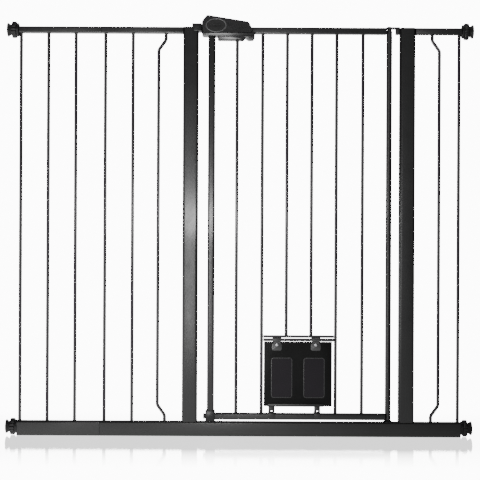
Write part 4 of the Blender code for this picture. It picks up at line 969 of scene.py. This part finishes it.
def door_foot():
    low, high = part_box("door_foot")
    stile_low, stile_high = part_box("latch_stile")
    rail_low, rail_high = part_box("door_bottom_rail")
    gap = 0.3 * MM
    past = 10 * MM
    left = stile_low.x - 3.4 * MM
    body = rounded_bar("shoe", (left, low.y, low.z), high, 2, 3, 5, 1.2)
    profile = [(0, -2), (6.2, -2), (6.2, 1.4), (7, 2.2), (7, 4.6), (6.4, 5.6), (5.4, 6)]
    profile += [(2.6, 6), (2.2, 5.4), (0, 5.4)]
    knob = lathe("knob", profile, (left, 0, (rail_low.z + rail_high.z) / 2), (-1, 0, 0), 44)
    stile_seat = rounded_bar(
        "stile_seat",
        (stile_low.x - gap, stile_low.y - gap, stile_low.z - gap),
        (stile_high.x + gap, stile_high.y + gap, high.z + past),
        2,
        5.5,
        6,
        helper=True,
    )
    stud_x = (stile_low.x + stile_high.x) / 2
    rail_seat = cuboid(
        (stud_x, rail_low.y - gap, stile_low.z - gap),
        (high.x + past, rail_high.y + gap, rail_high.z + gap),
    )
    recess = cuboid(
        (stud_x - 6 * MM, -5 * MM, low.z - past), (stud_x + 6 * MM, 5 * MM, low.z + 3.4 * MM)
    )
    shoe = cut(body, [stile_seat, rail_seat, recess])
    stand_for(merged("door_shoe", [shoe, knob]), "door_foot", GRIP_PLASTIC)


# ---------------------------------------------------------------- pet flap
def flap_pieces():
    low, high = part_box("flap_panel")
    outline = rectangle(low.x, low.z, high.x, high.z, 1.5, 20)
    panel = prism("panel", outline, low.y, high.y, 0.4)
    section = [(-0.7, 0.1), (-0.7, -0.35), (-0.3, -0.6), (0.5, -0.6), (0.9, -0.2), (0.9, 0.4)]
    cutters = []
    rims = []
    for node in ("flap_window_left", "flap_window_right"):
        pane_low, pane_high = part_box(node)

        def window(inset):
            """The window's opening, 0.3 mm wider all round than its pane."""
            grow = (0.3 - inset) * MM
            left, bottom = pane_low.x - grow, pane_low.z - grow
            return rectangle(
                left, bottom, pane_high.x + grow, pane_high.z + grow, 6 - inset, 10
            )

        past = 5 * MM
        cutters.append(prism("hole", window(0), low.y - past, high.y + past, helper=True))
        pane = prism(node + "_pane", window(0.3), pane_low.y, pane_high.y, 0.25)
        stand_for(pane, node)
        rims.append(moulding("rim", window, section, low.y))
    for node in ("flap_screw_left", "flap_screw_right"):
        middle = middle_of(node)
        place = (middle.x, (low.y + high.y) / 2, middle.z)
        cutters.append(drill(2.3, 10, place, Y_AXIS, 24))
    panel = cut(panel, cutters)
    panel.name = "flap_sheet"
    stand_for(panel, "flap_panel", SHEET)
    extra(merged("flap_window_rims", rims), "flap", CLIP)


def clip_outline(x, half, z_rod, z_low):
    """The clip's front outline below the rod: a strap that narrows, then a rounded plate."""
    shape = [(half - 1 * MM, -3), (6.5 * MM, -8), (half, -10.6)]
    corners = [(x - out, z_rod + drop * MM) for out, drop in shape]
    corners += [(x - half, z_low), (x + half, z_low)]
    corners += [(x + out, z_rod + drop * MM) for out, drop in reversed(shape)]
    return rounded_path(corners, [0, 2, 3, 4, 4, 3, 2, 0], 15)


def flap_clips():
    rod = middle_of("flap_hinge_rod")
    rod_reach = size_mm("flap_hinge_rod").z / 2 * MM + 0.3 * MM
    thick = 1.2 * MM
    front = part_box("flap_panel")[0].y - 0.3 * MM
    steps = 28
    for node in ("flap_clip_left", "flap_clip_right"):
        low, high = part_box(node)
        centre = (low.x + high.x) / 2
        half = (high.x - low.x) / 2
        outline = clip_outline(centre, half, rod.z, low.z)
        plate = prism("plate", outline, front - thick, front, 0.35)
        bm = bmesh.new()
        lines = []
        curl_half = half - 1 * MM
        for side, grow in ((-1, 0), (-1, thick), (1, thick), (1, 0)):
            radius = rod_reach + grow
            line = []
            for step in range(steps + 1):
                angle = math.radians(-50 + 246 * step / steps)
                y = rod.y + radius * math.cos(angle)
                z = rod.z + radius * math.sin(angle)
                line.append(bm.verts.new((centre + side * curl_half, y, z)))
            lines.append(line)
        rings = [list(ring) for ring in zip(*lines)]
        skin(bm, rings)
        bm.faces.new(rings[0])
        bm.faces.new(list(reversed(rings[-1])))
        curl = bevelled(from_bmesh("curl", bm), 0.3, 50)
        stand_for(merged(node + "_plate", [plate, curl]), node, CLIP, 40)

        screw = node.replace("clip", "screw")
        middle = middle_of(screw)
        seat = front - thick - 0.3 * MM
        back = (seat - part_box(screw)[1].y) / MM
        profile = [(0, 2.8)]
        for degrees in range(81, -1, -9):
            angle = math.radians(degrees)
            profile.append((4.6 * math.cos(angle), 2.8 * math.sin(angle)))
        profile += [(4.6, -0.3), (2, -0.3), (2, back), (0, back)]
        dome = lathe("dome", profile, (middle.x, seat, middle.z), (0, -1, 0))
        arms = []
        for wide, tall in ((2.4 * MM, 0.45 * MM), (0.45 * MM, 2.4 * MM)):
            arm_low = (middle.x - wide, seat - 5 * MM, middle.z - tall)
            arms.append(cuboid(arm_low, (middle.x + wide, seat - 1.5 * MM, middle.z + tall)))
        dome = cut(dome, arms)
        dome.name = screw + "_dome"
        stand_for(dome, screw)


def flap_rods():
    for node in ("flap_header", "flap_hinge_rod"):
        low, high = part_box(node)
        middle = (low + high) / 2
        path = [(x, middle.y, middle.z) for x in (low.x, high.x)]
        stand_for(sweep(node + "_bar", path, (high.z - low.z) / 2, 32), node, ROD)


def flap_lock():
    low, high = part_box("flap_lock")
    thick = 1.5 * MM
    half = 8 * MM
    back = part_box("flap_panel")[0].y - 0.3 * MM
    front = back - thick
    strip_low = high.z - 7 * MM
    outline = rectangle(low.x, strip_low, high.x, high.z, 2.5, 20)
    pieces = [prism("strip", outline, front, back, 0.35)]
    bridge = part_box("door_bottom_rail")[1].z + 1.5 * MM
    side = high.y - thick / 2
    line_z = bridge + thick / 2
    corners = [(-side, low.z), (-side, line_z), (side, line_z), (side, low.z)]
    for offset in (-66.5 * MM, 49 * MM):
        x = middle_of("flap_panel").x + offset
        hanger_low = (x - half, front, bridge + 0.6 * MM)
        hanger = cuboid(hanger_low, (x + half, back, strip_low + 1 * MM), False)
        hanger = bevelled(hanger, 0.3)
        bm = bmesh.new()
        path = rounded_path(corners, [0, 2, 2, 0], 15)
        line = [bm.verts.new((x - half, y, z)) for y, z in path]
        edges = [bm.edges.new(pair) for pair in zip(line, line[1:])]
        made = bmesh.ops.extrude_edge_only(bm, edges=edges)
        moved = [item for item in made["geom"] if isinstance(item, bmesh.types.BMVert)]
        bmesh.ops.translate(bm, vec=(2 * half, 0, 0), verts=moved)
        saddle = from_bmesh("saddle", bm)
        shell = saddle.modifiers.new("Sheet", "SOLIDIFY")
        shell.thickness = thick
        shell.offset = 0
        shell.use_even_offset = True
        pieces.append(bevelled(saddle, 0.35, 60))
        place = (x, (front + back) / 2, bridge + thick + 2.7 * MM)
        pieces.append(cut(hanger, [drill(2.2, 4, place, Y_AXIS, 28)]))
    stand_for(merged("flap_slide_lock", pieces), "flap_lock")


# ---------------------------------------------------------------- surroundings
WHITE = 12  # radiance of the backdrop and floor as the camera sees them
BACKDROP = 0.1  # radiance of the backdrop in the object's own reflections
FRONT_GLOW = 0.45  # radiance of the room behind the camera
DARK_SIDE = 0.05  # radiance of the unlit room at the sides
# Painted bounce light: in the object's reflections the floor glows, brighter at its left where
# the key light falls.
FLOOR_PAINTED_BOUNCE = (1.9, 0.25)  # the floor in the object's reflections, at its left and right
FLOOR_GLOSS = 0.87  # how much of the floor's look is its mirror image, under the object


def calculated(tree, operation, *values):
    node = tree.nodes.new("ShaderNodeMath")
    node.operation = operation
    for socket, value in zip(node.inputs, values):
        tree.links.new(value, socket)
    return node.outputs[0]


def seen_directly(tree):
    """1 for camera rays and for rays off a perfectly sharp mirror, otherwise 0."""
    path = tree.nodes.new("ShaderNodeLightPath").outputs
    return calculated(tree, "MAXIMUM", path["Is Camera Ray"], path["Is Singular Ray"])


def blended(tree, factor, first, second):
    """first where factor is 0, second where it is 1; each is a number or a socket."""
    mix = tree.nodes.new("ShaderNodeMix")
    mix.data_type = "FLOAT"
    for socket, value in (("A", first), ("B", second)):
        if isinstance(value, (int, float)):
            mix.inputs[socket].default_value = value
        else:
            tree.links.new(value, mix.inputs[socket])
    tree.links.new(factor, mix.inputs["Factor"])
    return mix.outputs["Result"]


def split_up(tree, vector):
    node = tree.nodes.new("ShaderNodeSeparateXYZ")
    tree.links.new(vector, node.inputs[0])
    return node.outputs


def white_backdrop():
    """White to the camera; dim behind the object and glowing in front in reflections."""
    world = bpy.context.scene.world or bpy.data.worlds.new("studio")
    bpy.context.scene.world = world
    world.use_nodes = True
    tree = world.node_tree
    background = tree.nodes["Background"]
    background.inputs["Color"].default_value = (1, 1, 1, 1)
    direction = split_up(tree, tree.nodes.new("ShaderNodeTexCoord").outputs["Generated"])
    front = mapped(tree, direction["Y"], -0.95, -0.2, FRONT_GLOW, DARK_SIDE)
    behind = mapped(tree, direction["Y"], 0.15, 0.85, 0, 1)
    room = blended(tree, behind, front, BACKDROP)
    strength = blended(tree, seen_directly(tree), room, WHITE)
    tree.links.new(strength, background.inputs["Strength"])


def pale_floor():
    """A white glossy floor, whose reflection fades away from the object's plane. It glows evenly
    white to the camera; in the object's reflections its glow is painted bounce light, brighter
    at the left.
    """
    bm = bmesh.new()
    bmesh.ops.create_grid(bm, x_segments=1, y_segments=1, size=30)
    floor = from_bmesh("floor", bm)
    material = bpy.data.materials.new("pale_floor")
    material.use_nodes = True
    tree = material.node_tree
    tree.nodes.clear()
    glow = tree.nodes.new("ShaderNodeEmission")
    glow.inputs["Color"].default_value = (1, 1, 1, 1)
    coordinates = object_coordinates(tree)
    place = split_up(tree, coordinates)
    # Painted bounce light: the floor's glow in reflections runs from bright at the left to dim
    # at the right.
    painted_bounce = mapped(tree, place["X"], -0.6, 0.9, *FLOOR_PAINTED_BOUNCE)
    tree.links.new(blended(tree, seen_directly(tree), painted_bounce, WHITE), glow.inputs["Strength"])
    mirror = tree.nodes.new("ShaderNodeBsdfGlossy")
    mirror.inputs["Roughness"].default_value = 0
    bumped(tree, mirror, noise(tree, coordinates, 160, 2, 0.5), 0.12, 0.001)
    away = calculated(tree, "ABSOLUTE", place["Y"])
    share = mapped(tree, away, 0.2, 0.42, FLOOR_GLOSS, 0)
    path = tree.nodes.new("ShaderNodeLightPath")
    only = calculated(tree, "MULTIPLY", share, path.outputs["Is Camera Ray"])
    mix = tree.nodes.new("ShaderNodeMixShader")
    for socket, value in zip(mix.inputs, (only, glow.outputs[0], mirror.outputs[0])):
        tree.links.new(value, socket)
    output = tree.nodes.new("ShaderNodeOutputMaterial")
    tree.links.new(mix.outputs[0], output.inputs["Surface"])
    floor.data.materials.append(material)
    floor.location.z = -0.2 * MM


def soft_box(name, place, target, size, radiance):
    """A soft box of (width, height), given by its radiance, which no camera sees."""
    data = bpy.data.lights.new(name, "AREA")
    data.shape = "RECTANGLE"
    data.size, data.size_y = size
    data.energy = radiance * math.pi * size[0] * size[1]
    obj = bpy.data.objects.new(name, data)
    bpy.context.scene.collection.objects.link(obj)
    obj.location = place
    aim = Vector(target) - Vector(place)
    obj.rotation_euler = aim.to_track_quat("-Z", "Y").to_euler()
    obj.visible_camera = False


def studio():
    soft_box("key", (-0.4, -2.95, 0.68), (-0.2, 0, 0.5), (0.7, 1.4), 4.2)
    soft_box("low", (-0.1, -0.29, 0.56), (-0.1, -0.1, 1.0), (0.22, 0.2), 21)
    soft_box("strip", (-0.14, -0.5, 0.31), (-0.12, 0, 0.31), (0.08, 0.5), 10)
    soft_box("top", (0.1, 0.5, 2.6), (0, 0, 0.4), (1.6, 1.2), 2.5)


def camera():
    data = bpy.data.cameras.new("camera")
    data.sensor_width = 36
    distance = 3.0
    view_width = 1.2192
    data.lens = data.sensor_width * distance / view_width
    obj = bpy.data.objects.new("camera", data)
    bpy.context.scene.collection.objects.link(obj)
    obj.location = (1.3 * MM, -distance, 0.497)
    obj.rotation_euler = (math.radians(90), math.radians(-0.27), 0)
    bpy.context.scene.camera = obj


tubes()
bars()
weld_beads()
wall_fittings()
fixed_fittings()
handle_cover()
handle_grip()
latch_button()
latch_bolt()
latch_trigger()
door_foot()
flap_pieces()
flap_clips()
flap_rods()
flap_lock()
white_backdrop()
pale_floor()
studio()
camera()

bpy.data.collections.remove(HELPERS)
bpy.context.view_layer.update()
